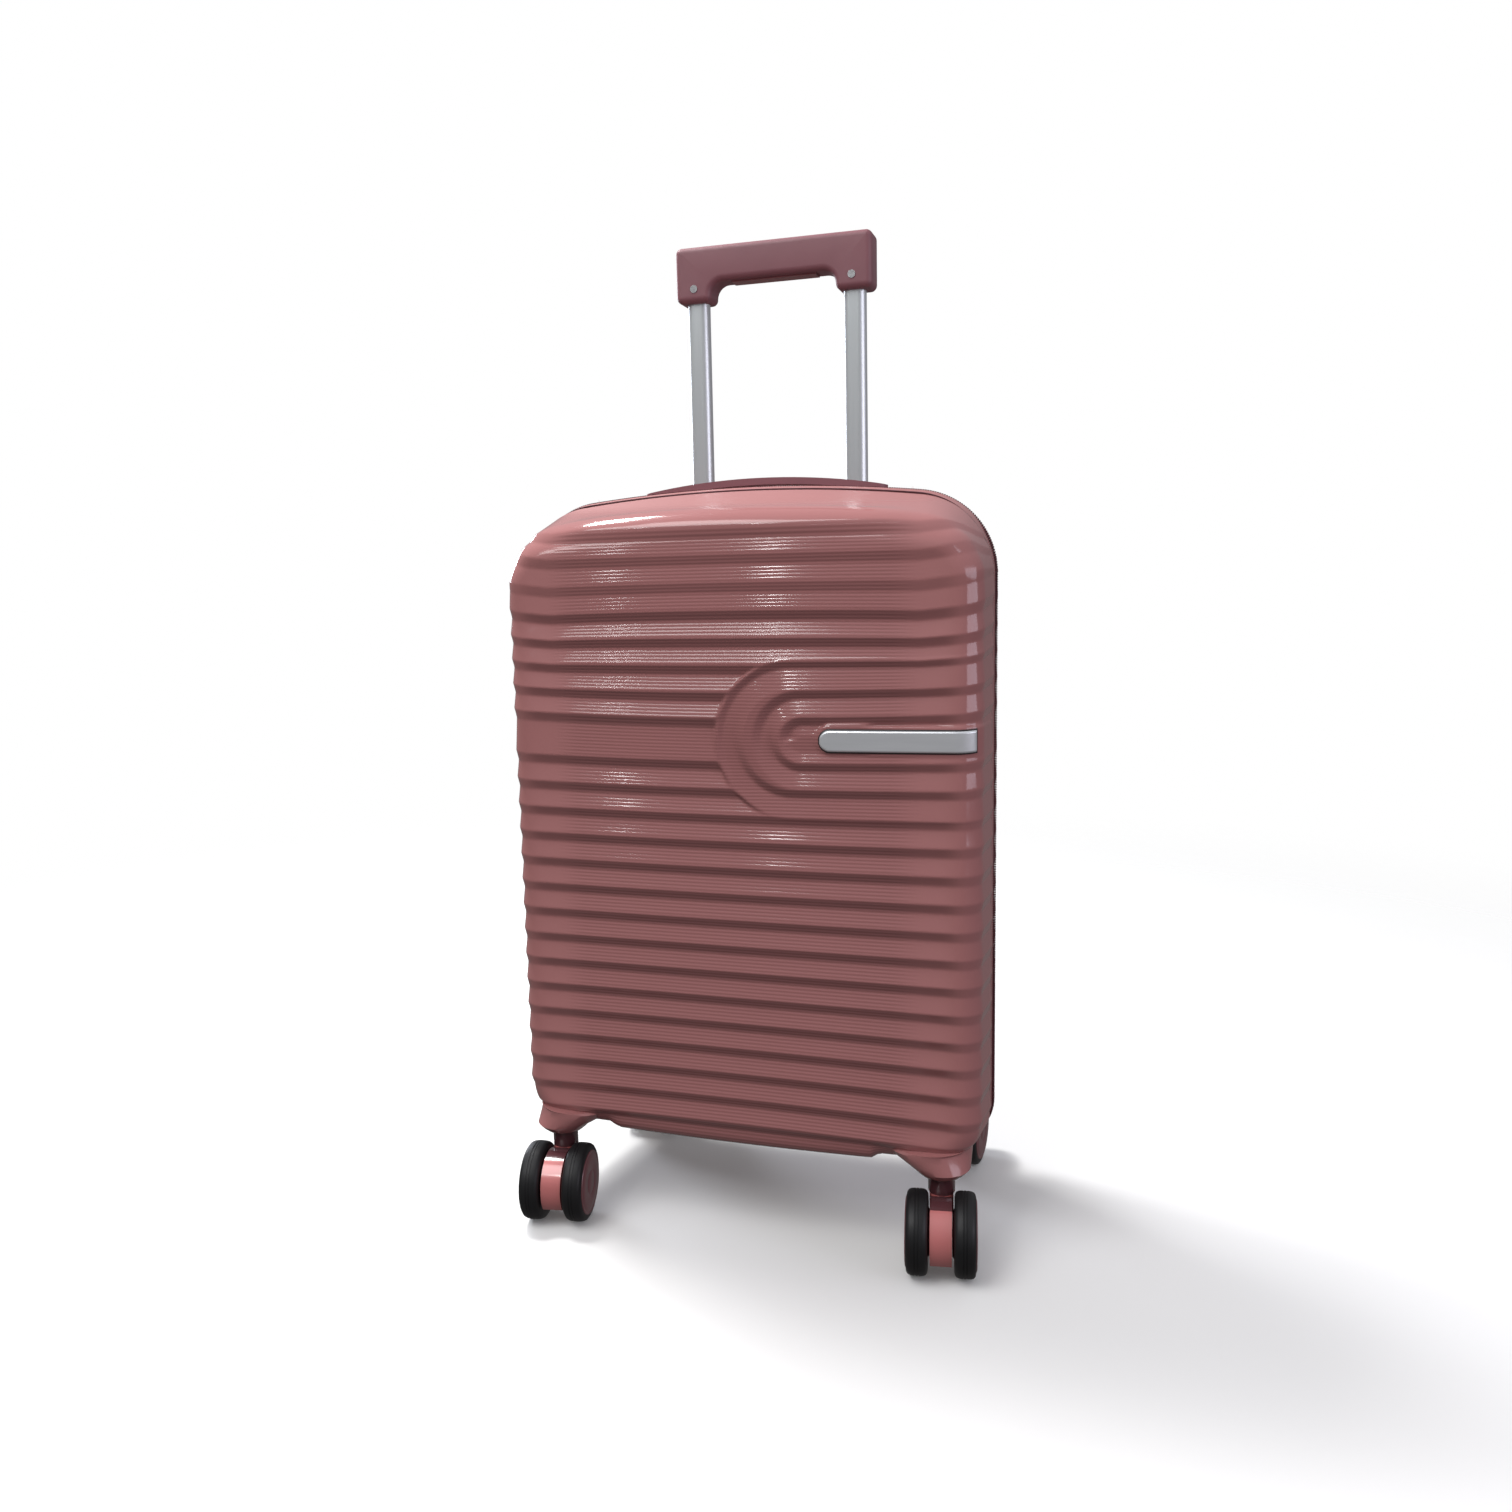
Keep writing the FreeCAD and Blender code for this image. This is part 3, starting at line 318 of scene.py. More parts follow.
def pads(half, x, y, z):
    """Distances to the places where hardware sits on a smooth pad."""
    stem_x, stem_y = STEMS[half["sign"]]
    places = [np.where(z < 86, np.hypot(np.abs(x) - stem_x, y - stem_y) - 21.5, FAR)]
    if half is REAR:
        left, top = x < -150, z > 500
        lock = rounded_box_distance(y - LOCK[0], z - LOCK[1], 13.5, 40.0, 6.0)
        bezel = rounded_box_distance(y - BEZEL_Y, x, 15.0, 83.5, 6.0)
        places += [np.where(left, lock, FAR), np.where(top, bezel, FAR)]
        for end in (-HANDLE_REACH, HANDLE_REACH):
            socket = rounded_box_distance(y - SIDE_HANDLE[0], z - SIDE_HANDLE[1] - end, 10.5, 12.0, 4.0)
            stem = rounded_box_distance(y - TOP_HANDLE_Y, x - end, 10.5, 12.0, 4.0)
            places += [np.where(left, socket, FAR), np.where(top, stem, FAR)]
    return places


# Meshes --------------------
JOIN_DISTANCE = 2e-6
INNER_BAND = 30.0


def mesh_object(name, vertices, faces, material, smooth_shading=True):
    """Object from vertices in millimetres."""
    data = bpy.data.meshes.new(name)
    data.from_pydata((np.asarray(vertices) * MM).tolist(), [], faces)
    data.validate()
    data.polygons.foreach_set("use_smooth", [smooth_shading] * len(data.polygons))
    return linked(name, data, material)


def built(name, bm, material):
    """Object from a finished bmesh."""
    data = bpy.data.meshes.new(name)
    bm.to_mesh(data)
    bm.free()
    return linked(name, data, material)


def linked(name, data, material):
    """Object in the scene from a mesh, with its material."""
    obj = bpy.data.objects.new(name, data)
    bpy.context.scene.collection.objects.link(obj)
    data.materials.append(material)
    return obj


def grid_faces(rows, columns, offset=0, flip=False):
    faces = []
    for r in range(rows - 1):
        for c in range(columns - 1):
            at = offset + r * columns + c
            quad = (at, at + 1, at + columns + 1, at + columns)
            faces.append(quad[::-1] if flip else quad)
    return faces


def ring_faces(rings, count, closed=False):
    """Quads from ring to ring of count points each."""
    faces = []
    for ring in range(rings if closed else rings - 1):
        low, high = ring * count, (ring + 1) % rings * count
        for k in range(count):
            n = (k + 1) % count
            faces.append((low + k, low + n, high + n, high + k))
    return faces


def end_faces(rings, count):
    """Lids on the first and last ring."""
    return [tuple(range(count))[::-1], tuple(range((rings - 1) * count, rings * count))]


def edge_faces(rows, columns, layer, flip=False):
    """Quads round a grid's edge, down to the same grid layer points further on."""
    loop = list(range(columns)) + [r * columns + columns - 1 for r in range(1, rows)]
    loop += [(rows - 1) * columns + c for c in range(columns - 2, -1, -1)]
    loop += [r * columns for r in range(rows - 2, 0, -1)]
    faces = [(q, p, p + layer, q + layer) for p, q in zip(loop, loop[1:] + loop[:1])]
    return [face[::-1] for face in faces] if flip else faces


def clean(obj, join_points=True):
    """Drop loose points and join those that meet."""
    bm = bmesh.new()
    bm.from_mesh(obj.data)
    bmesh.ops.delete(bm, geom=[v for v in bm.verts if not v.link_faces], context="VERTS")
    if join_points:
        bmesh.ops.remove_doubles(bm, verts=bm.verts, dist=JOIN_DISTANCE)
        bmesh.ops.dissolve_degenerate(bm, edges=bm.edges, dist=JOIN_DISTANCE)
    bm.to_mesh(obj.data)
    bm.free()


def place(obj, body, slot, *replaced):
    """Let a piece ride on a body and stand for CAD nodes; slot is not used."""
    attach(obj, body)
    if replaced:
        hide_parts(*replaced)


def shell(name, half, columns, fine, body, material):
    """Moulded half: ribbed outside, and an inner face near the rim, where it shows."""
    rows = rows_for(half, fine)
    a, b, height = shell_grid(half, columns, rows)
    x, y, z, depth = shell_point(half, a, b)
    base = np.stack([x, y, z], axis=2)
    normal = surface_normals(base) * -half["sign"]
    level = shell_level(half, base, height, depth)
    outer = base + normal * level[..., None]
    inner = base - normal * WALL
    count_r, count_c = height.shape
    vertices = np.concatenate([outer.reshape(-1, 3), inner.reshape(-1, 3)])
    flip = half["sign"] > 0
    faces = grid_faces(count_r, count_c, 0, flip)
    layer = count_r * count_c
    band = (depth < INNER_BAND).reshape(-1)
    inside = grid_faces(count_r, count_c, layer, not flip)
    faces += [face for face in inside if band[min(face) - layer] and band[max(face) - layer]]
    faces += edge_faces(count_r, count_c, layer, flip)
    obj = mesh_object(name, vertices, faces, material)
    rib = obj.data.attributes.new("rib_height", "FLOAT", "POINT")
    rib.data.foreach_set("value", np.tile(height.reshape(-1), 2).astype(np.float32))
    clean(obj)
    place(obj, body, "shell", name.replace("shell_", "") + "_shell")


# Materials --------------------
class Look:
    """A Principled material with helpers for procedural detail."""

    def __init__(self, name, colour, roughness, **sockets):
        self.material = bpy.data.materials.new(name)
        self.material.use_nodes = True
        self.tree = self.material.node_tree
        self.shader = self.tree.nodes["Principled BSDF"]
        self.shader.inputs["Base Color"].default_value = (*colour, 1.0)
        self.shader.inputs["Roughness"].default_value = roughness
        for socket, value in sockets.items():
            self.shader.inputs[socket.replace("_", " ")].default_value = value
        self.colour = colour
        self.place = self.tree.nodes.new("ShaderNodeTexCoord").outputs["Object"]
        self.normal = None

    def add(self, kind, **settings):
        node = self.tree.nodes.new(kind)
        for key, value in settings.items():
            setattr(node, key, value)
        return node

    def link(self, source, target):
        self.tree.links.new(source, target)

    def give(self, socket, value):
        """Link a socket to another node's, or set its plain value."""
        if isinstance(value, bpy.types.NodeSocket):
            self.link(value, socket)
        else:
            socket.default_value = value

    def scaled(self, x, y, z):
        mapping = self.add("ShaderNodeMapping")
        mapping.inputs["Scale"].default_value = (x, y, z)
        self.link(self.place, mapping.inputs["Vector"])
        return mapping.outputs["Vector"]

    def axis(self, name):
        split = self.add("ShaderNodeSeparateXYZ")
        self.link(self.place, split.inputs["Vector"])
        return split.outputs[name]

    def step(self, value, low, high, to_low=0.0, to_high=1.0):
        """Smooth change from to_low to to_high as value goes from low to high."""
        node = self.add("ShaderNodeMapRange", interpolation_type="SMOOTHSTEP")
        ends = {"From Min": low, "From Max": high, "To Min": to_low, "To Max": to_high}
        for socket, number in ends.items():
            node.inputs[socket].default_value = number
        self.link(value, node.inputs["Value"])
        return node.outputs["Result"]

    def noise(self, scale, detail=4.0, roughness=0.55, stretch=(1, 1, 1)):
        node = self.add("ShaderNodeTexNoise")
        node.inputs["Scale"].default_value = scale
        node.inputs["Detail"].default_value = detail
        node.inputs["Roughness"].default_value = roughness
        self.link(self.scaled(*stretch), node.inputs["Vector"])
        return node.outputs["Fac"]

    def math(self, operation, first, second=None, third=None):
        node = self.add("ShaderNodeMath", operation=operation)
        for socket, value in zip(node.inputs, (first, second, third)):
            if value is not None:
                self.give(socket, value)
        return node.outputs["Value"]

    def between(self, factor, low, high):
        node = self.add("ShaderNodeMapRange")
        node.inputs["To Min"].default_value = low
        node.inputs["To Max"].default_value = high
        self.link(factor, node.inputs["Value"])
        return node.outputs["Result"]

    def mixed(self, factor, first, second, **settings):
        """Base colour from a mix; each value is a socket or a plain value."""
        node = self.add("ShaderNodeMix", data_type="RGBA", **settings)
        for socket, value in (("Factor", factor), ("A", first), ("B", second)):
            self.give(node.inputs[socket], value)
        self.link(node.outputs["Result"], self.shader.inputs["Base Color"])
        return node.outputs["Result"]

    def tint(self, factor, darker, lighter):
        """Base colour that wanders between two brightnesses of the colour."""
        dark = (*[c * darker for c in self.colour], 1.0)
        return self.mixed(factor, dark, (*[min(1.0, c * lighter) for c in self.colour], 1.0))

    def rough(self, factor, low, high):
        self.link(self.between(factor, low, high), self.shader.inputs["Roughness"])

    def bump(self, height, strength, distance_mm):
        node = self.add("ShaderNodeBump")
        node.inputs["Strength"].default_value = strength
        node.inputs["Distance"].default_value = distance_mm * MM
        self.link(height, node.inputs["Height"])
        if self.normal is not None:
            self.link(self.normal, node.inputs["Normal"])
        self.normal = node.outputs["Normal"]
        self.link(self.normal, self.shader.inputs["Normal"])


def wave(look, period_mm, axis, sharp=1.0):
    """Repeating ridges along one axis of the object, from 0 to 1."""
    turns = look.math("MULTIPLY", look.axis(axis), 2 * math.pi / (period_mm * MM))
    lifted = look.math("MULTIPLY_ADD", look.math("SINE", turns), 0.5, 0.5)
    return look.math("POWER", lifted, sharp)


def shell_look(name, colour, fine_lines):
    """Glossy moulding, satin on its crown; the face may have fine raised lines, with painted shade darkening the
    base colour in the grooves between them.
    """
    look = Look(name, colour, 0.16, IOR=1.50)
    cloud = look.math("MULTIPLY", look.noise(7.0, 3.0), 0.6)
    tinted = look.tint(look.math("MULTIPLY_ADD", look.noise(900.0, 2.0), 0.4, cloud), 0.93, 1.07)
    crown = look.step(look.axis("Z"), *CROWN_SATIN)
    satin = look.between(look.noise(60.0, 4.0), 0.09, 0.14)
    look.link(look.math("MULTIPLY_ADD", crown, 0.30, satin), look.shader.inputs["Roughness"])
    look.bump(look.noise(420.0, 2.0), 0.03, 0.10)
    if fine_lines:
        height = look.add("ShaderNodeAttribute", attribute_name="rib_height")
        turns = look.math("MULTIPLY", height.outputs["Fac"], 2 * math.pi / FINE_LINE_PITCH)
        ridge = look.math("MULTIPLY_ADD", look.math("SINE", turns), 0.5, 0.5)
        sides = look.step(look.math("ABSOLUTE", look.axis("X")), *FINE_LINE_ENDS, 1.0, 0.0)
        below_crown = look.math("LESS_THAN", look.axis("Z"), FINE_LINE_TOP)
        lined = look.math("MULTIPLY", sides, below_crown)
        look.bump(look.math("MULTIPLY", ridge, lined), 0.32, 0.30)
        # Painted shade: the base colour is darkened in the grooves between the fine lines.
        painted_groove_shade = look.math("MULTIPLY", look.math("SUBTRACT", 1.0, ridge), lined)
        look.mixed(painted_groove_shade, tinted, (0.78, 0.76, 0.76, 1.0), blend_type="MULTIPLY")
    return look.material


def moulded_look(name, colour, roughness, grain=0.35, coat=0.0):
    look = Look(name, colour, roughness, Coat_Weight=coat, Coat_Roughness=0.12)
    look.tint(look.noise(30.0, 4.0), 0.88, 1.10)
    look.rough(look.noise(140.0, 3.0), roughness * 0.85, min(1.0, roughness * 1.2))
    look.bump(look.noise(1400.0, 2.0), grain, 0.12)
    return look.material


def fork_look():
    """Glossy blade under a dark neck, parted by height."""
    look = Look("fork_moulding", (0.46, 0.145, 0.14), 0.2, Coat_Weight=0.5, Coat_Roughness=0.08)
    blade = look.tint(look.noise(30.0, 4.0), 0.92, 1.08)
    neck = look.math("GREATER_THAN", look.axis("Z"), NECK_BOTTOM * MM)
    look.mixed(neck, blade, (0.075, 0.026, 0.030, 1.0))
    look.rough(look.noise(140.0, 3.0), 0.16, 0.26)
    look.bump(look.noise(900.0, 2.0), 0.06, 0.08)
    return look.material


def metal_look(name, colour, roughness, brushed=(1, 1, 1), anisotropic=0.0, metallic=1.0):
    look = Look(name, colour, roughness, Metallic=metallic, Anisotropic=anisotropic)
    look.tint(look.noise(240.0, 4.0, stretch=brushed), 0.90, 1.06)
    look.rough(look.noise(420.0, 3.0, stretch=brushed), roughness * 0.8, roughness * 1.25)
    look.bump(look.noise(700.0, 2.0, stretch=brushed), 0.06, 0.05)
    return look.material


def rubber_look(name, colour):
    look = Look(name, colour, 0.48, Specular_IOR_Level=0.32)
    look.tint(look.noise(55.0, 5.0), 0.8, 1.7)
    look.rough(look.noise(90.0, 4.0), 0.38, 0.60)
    look.bump(look.noise(800.0, 3.0), 0.25, 0.10)
    return look.material


def cloth_look(name, colour, period_mm, strength=0.6):
    look = Look(name, colour, 0.82, Sheen_Weight=0.35, Sheen_Roughness=0.5)
    weave = look.math("ADD", wave(look, period_mm, "X", 0.8), wave(look, period_mm, "Z", 0.8))
    weave = look.math("MULTIPLY", look.math("ADD", weave, wave(look, period_mm, "Y", 0.8)), 0.333)
    worn = look.math("MULTIPLY_ADD", look.noise(25.0), 0.4, look.math("MULTIPLY", weave, 0.6))
    look.tint(worn, 0.72, 1.25)
    look.bump(weave, strength, 0.25)
    return look.material


# Fine lines' pitch; the rest is in metres, as materials see it.
FINE_LINE_PITCH = 2.36
FINE_LINE_ENDS = (0.112, 0.138)
FINE_LINE_TOP = 0.5165
CROWN_SATIN = (0.527, 0.537)
NECK_BOTTOM = 50.5
ROSE = (0.312, 0.128, 0.125)
looks = {
    "front_shell": shell_look("shell_front", ROSE, True),
    "rear_shell": shell_look("shell_rear", ROSE, False),
    "grip": moulded_look("grip_moulding", (0.20, 0.078, 0.092), 0.50),
    "trim": moulded_look("trim_moulding", (0.25, 0.09, 0.095), 0.38, 0.15),
    "trim_gloss": fork_look(),
    "dark_plastic": moulded_look("dark_moulding", (0.016, 0.012, 0.013), 0.42),
    "tube_metal": metal_look("anodised_tube", (0.60, 0.64, 0.65), 0.34, (1, 1, 0.02), 0.4, 0.6),
    "steel": metal_look("bright_steel", (0.62, 0.62, 0.63), 0.22),
    "zip_metal": metal_look("plated_metal", (0.40, 0.34, 0.34), 0.28),
    "badge": metal_look("satin_plate", (0.74, 0.76, 0.78), 0.30, (0.03, 1, 1), 0.4, 0.6),
    "tyre": rubber_look("tyre_rubber", (0.006, 0.006, 0.0065)),
    "hub": moulded_look("hub_moulding", (0.15, 0.045, 0.052), 0.34, 0.12, 0.2),
    "zip": cloth_look("zip_tape", (0.060, 0.012, 0.018), 0.9),
    "lining": cloth_look("lining_cloth", (0.10, 0.085, 0.09), 0.8),
    "strap": cloth_look("webbing", (0.035, 0.03, 0.033), 1.6),
    "net": cloth_look("pocket_net", (0.05, 0.045, 0.048), 2.4, 1.0),
    "zip_teeth": moulded_look("zip_teeth", (0.10, 0.022, 0.030), 0.35),
}
slots = {row["node"]: row["material_slot"] for row in frame["record"]["subparts"]}
for node_name, node_object in nodes.items():
    look_name = slots[node_name] if slots[node_name] in looks else "front_shell"
    node_object.data.materials.clear()
    node_object.data.materials.append(looks[look_name])


def columns_for(half, stops):
    """Column places from -1 to 1 across the unrolled half."""
    wide = half["face"][0] + unrolled_reach(half) - half["round"]
    return spaced([(value * wide if abs(value) == 1 else value, step) for value, step in stops]) / wide


FRONT_STOPS = [(-1, 2.0), (-150, 5.0), (-14, 1.4), (75, 4.0), (105, 2.5), (150, 2.0), (1, 1)]
REAR_STOPS = [(-1, 2.2), (-135, 6.0), (135, 2.2), (1, 1)]
shell("shell_front", FRONT, columns_for(FRONT, FRONT_STOPS), 1.0, "lid", looks["front_shell"])
shell("shell_rear", REAR, columns_for(REAR, REAR_STOPS), 1.2, "body", looks["rear_shell"])


# Zip --------------------
def rim_loop(inset, step):
    """Points and outward ways round the rim's outline, moved inwards by inset."""
    half_width, top, bottom, top_corner, bottom_corner = RIM
    crown_z = top - CROWN_RADIUS
    corner_x = half_width - top_corner
    corner_z = crown_z + math.sqrt((CROWN_RADIUS - top_corner) ** 2 - corner_x**2)
    angle = math.atan2(corner_z - crown_z, corner_x)
    low_x = half_width - bottom_corner
    low_z = bottom + bottom_corner
    points, ways = [], []

    def arc(cx, cz, radius, start, end):
        count = max(2, round(radius * (end - start) / step))
        for k in range(count):
            turn = start + (end - start) * k / count
            ways.append((math.cos(turn), math.sin(turn)))
            points.append((cx + radius * ways[-1][0], cz + radius * ways[-1][1]))

    def line(x0, z0, x1, z1):
        length = math.hypot(x1 - x0, z1 - z0)
        count = max(2, round(length / step))
        for k in range(count):
            points.append((x0 + (x1 - x0) * k / count, z0 + (z1 - z0) * k / count))
            ways.append(((z1 - z0) / length, -(x1 - x0) / length))

    side = half_width - inset
    arc(low_x, low_z, bottom_corner - inset, -math.pi / 2, 0.0)
    line(side, low_z, side, corner_z)
    arc(corner_x, corner_z, top_corner - inset, 0.0, angle)
    arc(0.0, crown_z, CROWN_RADIUS - inset, angle, math.pi - angle)
    arc(-corner_x, corner_z, top_corner - inset, math.pi - angle, math.pi)
    line(-side, corner_z, -side, low_z)
    arc(-low_x, low_z, bottom_corner - inset, math.pi, 1.5 * math.pi)
    line(-low_x, bottom + inset, low_x, bottom + inset)
    return np.array(points), np.array(ways)


def rim_ring(name, profile, material):
    """Closed band round the rim; profile is a closed list of (y, inset)."""
    points, ways = rim_loop(0.0, 4.0)
    vertices = []
    for y, inset in profile:
        vertices += [(x, y, z) for x, z in points - ways * inset]
    return mesh_object(name, vertices, ring_faces(len(profile), len(points), True), material)


def zip_teeth(name, sign, material, body):
    """Moulded teeth along one tape; the other half's lie between them."""
    points, ways = rim_loop(1.3, TOOTH_PITCH)
    ahead = np.roll(points, -1, axis=0)
    along = (ahead - points) / np.linalg.norm(ahead - points, axis=1, keepdims=True)
    if sign > 0:
        points = (points + ahead) / 2
    vertices, faces = [], []
    for (px, pz), (wx, wz), (ax, az) in zip(points, ways, along):
        at = len(vertices)
        for y, half_long, lift in ((0.12, 0.30, 0.55), (1.6, 0.42, 0.7), (3.2, 0.34, 0.55)):
            for side_long, side_out in ((-1, -1), (1, -1), (1, 1), (-1, 1)):
                x = px + ax * half_long * side_long + wx * lift * side_out
                z = pz + az * half_long * side_long + wz * lift * side_out
                vertices.append((x, ZIP_Y + sign * y, z))
        faces += [tuple(at + v for v in face) for face in ring_faces(3, 4) + end_faces(3, 4)]
    place(mesh_object(name, vertices, faces, material, False), body, "zip")


TOOTH_PITCH = 1.7
for key, sign, body in (("front", -1, "lid"), ("rear", 1, "body")):
    y0 = ZIP_Y + sign * 0.4
    y1 = ZIP_Y + sign * 12.0
    middle = ZIP_Y + sign * 3.6
    profile = [(y0, 2.2), (middle, 2.2), (middle + sign * 0.6, 3.1), (y1, 3.15), (y1, 4.2), (y0, 4.2)]
    place(rim_ring("zip_tape_" + key, profile, looks["zip"]), body, "zip", key + "_zip_tape")
    zip_teeth("zip_teeth_" + key, sign, looks["zip_teeth"], body)


# Lining --------------------
LINING_INSET = 4.4
LINING_START = 14.0
LINING_TOP = 507.3
LINING_BOTTOM = 87.8
HUMP_HALF = 82.0
HUMP_Y = 42.4
# Boxed-out cloth over the lock and the side handle's sockets.
COVER_X = -140.0
COVER_Z = 300.0
COVER_HALF = 108.0
CLOTH = 0.9


def lining(name, half, body, stops, fine, replaced):
    """Sewn cloth liner with level ends; the deep half's covers the tubes and lock."""
    rows = rows_for(half, fine)
    a, b, _ = shell_grid(half, columns_for(half, stops), rows)
    x, y, z, depth = shell_point(half, a, b, LINING_START)
    base = np.stack([x, y, z], axis=2)
    normal = surface_normals(base) * -half["sign"]
    ripple = 0.5 * np.sin(x / 17.0 + z / 41.0) * np.sin(z / 23.0 - x / 61.0) * smooth(15.0, 30.0, depth)
    inside = base - normal * (LINING_INSET + 0.6 - ripple)[..., None]
    x, y, z = inside[..., 0], inside[..., 1], inside[..., 2]
    z = np.clip(z, LINING_BOTTOM, LINING_TOP)
    if half is REAR:
        hump = smooth(HUMP_HALF + 3.0, HUMP_HALF, np.abs(x))
        y = np.minimum(y, mix(200.0, HUMP_Y, hump))
        cover = smooth(-COVER_HALF, 14.0 - COVER_HALF, z - COVER_Z)
        cover = cover * smooth(COVER_HALF, COVER_HALF - 14.0, z - COVER_Z)
        cover = cover * smooth(ZIP_Y + 84.0, ZIP_Y + 74.0, y) * smooth(-1.0, 3.0, depth - LINING_START)
        x = np.where(x < -120.0, np.maximum(x, mix(-200.0, COVER_X, cover)), x)
    points = np.stack([x, y, z], axis=2)
    faces = grid_faces(*points.shape[:2], 0, half["sign"] < 0)
    obj = mesh_object(name, points.reshape(-1, 3), faces, looks["lining"])
    clean(obj)
    thicken(obj, CLOTH, 1.0)
    place(obj, body, "lining", *replaced)
    edge = [points[0], points[1:, -1], points[-1, -2::-1], points[-2:0:-1, 0]]
    piping = tube_along(name + "_piping", np.concatenate(edge), 1.3, looks["strap"], True)
    place(piping, body, "strap")
    declare_sheet(obj)


def thicken(obj, thickness, offset=-1.0):
    thick = obj.modifiers.new("cloth", "SOLIDIFY")
    thick.thickness = thickness * MM
    thick.offset = offset


def declare_sheet(obj, flat=None):
    """Work out the flat size of a piece of taut cloth, cut to its own area over its longest side unless given;
    nothing is done with it.
    """
    area = sum(face.area for face in obj.data.polygons)
    points = np.array([v.co for v in obj.data.vertices])
    length = float(np.ptp(points, axis=0).max())
    flat = flat or (area / length * 1.0005, length)


def tube_along(name, points, radius, material, closed, sides=8):
    """Round tube through points, in millimetres."""
    keep = [points[0]]
    for point in points[1:]:
        if np.linalg.norm(point - keep[-1]) > radius * 1.2:
            keep.append(point)
    if closed and np.linalg.norm(keep[0] - keep[-1]) < radius * 1.2:
        keep.pop()
    points = np.array(keep)
    tangents = np.roll(points, -1, axis=0) - np.roll(points, 1, axis=0)
    if not closed:
        tangents[0] = points[1] - points[0]
        tangents[-1] = points[-1] - points[-2]
    tangents /= np.linalg.norm(tangents, axis=1, keepdims=True)
    vertices = []
    for point, tangent in zip(points, tangents):
        first = np.cross(tangent, (0.0, 1.0, 0.0))
        if np.linalg.norm(first) < 0.2:
            first = np.cross(tangent, (0.0, 0.0, 1.0))
        first /= np.linalg.norm(first)
        second = np.cross(tangent, first)
        for k in range(sides):
            turn = 2 * math.pi * k / sides
            vertices.append(point + radius * (first * math.cos(turn) + second * math.sin(turn)))
    faces = ring_faces(len(points), sides, closed)
    if not closed:
        faces += end_faces(len(points), sides)
    return mesh_object(name, vertices, faces, material)


FRONT_LINING_STOPS = [(-1, 5.0), (1, 1)]
REAR_LINING_STOPS = [(-1, 5.0), (-88, 1.5), (-78, 6.0), (78, 1.5), (88, 5.0), (1, 1)]
FRONT_LININGS = ("front_lining", "front_lining_panels")
REAR_LININGS = ("rear_lining", "rear_lining_panels", "trolley_cover")
lining("lining_front", FRONT, "lid", FRONT_LINING_STOPS, 5.0, FRONT_LININGS)
lining("lining_rear", REAR, "body", REAR_LINING_STOPS, 4.0, REAR_LININGS)


# Straps, pocket and hinge cloth --------------------
def ribbon(name, centres, width, thickness, material):
    """Flat upright band through centres."""
    vertices = []
    for x, y, z in centres:
        for out, up in ((-1, -1), (1, -1), (1, 1), (-1, 1)):
            vertices.append((x, y + out * thickness / 2, z + up * width / 2))
    faces = ring_faces(len(centres), 4) + end_faces(len(centres), 4)
    return mesh_object(name, vertices, faces, material, False)


def straps():
    """Webbing from both side walls to the buckle, sagging a little."""
    low, high = cad_box_mm("packing_straps")
    buckle_end = cad_box_mm("strap_buckle")[1][0]
    mid_z = (low[2] + high[2]) / 2
    for side, side_name, replaced in ((-1, "left", ["packing_straps"]), (1, "right", [])):
        inner = side * (buckle_end - 7.0)
        outer = side * (high[0] - 0.4)
        centres = []
        for k in range(33):
            t = k / 32
            sag = 2.2 * math.sin(math.pi * t) + 0.5 * math.sin(5 * math.pi * t)
            centres.append((mix(inner, outer, t), (low[1] + high[1]) / 2 + sag, mid_z))
        strap = ribbon("strap_" + side_name, centres, high[2] - low[2], 1.1, looks["strap"])
        place(strap, "body", "strap", *replaced)


def rounded_outline(half_u, half_v, corner, steps=6):
    points = []
    for quarter, (su, sv) in enumerate(((1, 1), (-1, 1), (-1, -1), (1, -1))):
        for k in range(steps + 1):
            turn = math.pi / 2 * (quarter + k / steps)
            u = su * (half_u - corner) + corner * math.cos(turn)
            v = sv * (half_v - corner) + corner * math.sin(turn)
            points.append((u, v))
    return points


def buckle():
    """Side-release buckle: two shells with prongs showing at the sides."""
    low, high = cad_box_mm("strap_buckle")
    centre = [(a + b) / 2 for a, b in zip(low, high)]
    bm = bmesh.new()

    def plate(u0, u1, half_v, margin, corner, v0=0.0):
        """Rounded plate from u0 to u1, margin thinner at the front and back."""
        middle = centre[0] + (u0 + u1) / 2
        y0 = (low[1] + margin) * MM
        outline = rounded_outline((u1 - u0) / 2, half_v, corner)
        base = [bm.verts.new(((middle + u) * MM, y0, (centre[2] + v0 + v) * MM)) for u, v in outline]
        made = bmesh.ops.extrude_face_region(bm, geom=[bm.faces.new(base)])["geom"]
        moved = [g for g in made if isinstance(g, bmesh.types.BMVert)]
        bmesh.ops.translate(bm, verts=moved, vec=(0, (high[1] - low[1] - 2 * margin) * MM, 0))

    half_v = (high[2] - low[2]) / 2
    plate(-23.5, 1.0, half_v, 0.0, 4.0)
    plate(8.0, 23.5, half_v, 0.0, 3.0)
    for side in (-1, 1):
        plate(0.0, 12.0, half_v * 0.26, 1.0, 2.0)
        plate(-2.5, 10.5, half_v * 0.22, 0.8, 2.5, side * half_v * 0.66)
    bmesh.ops.recalc_face_normals(bm, faces=bm.faces)
    obj = built("buckle", bm, looks["dark_plastic"])
    round_off = obj.modifiers.new("edges", "BEVEL")
    round_off.width = 0.6 * MM
    round_off.segments = 2
    place(obj, "body", "dark_plastic", "strap_buckle")


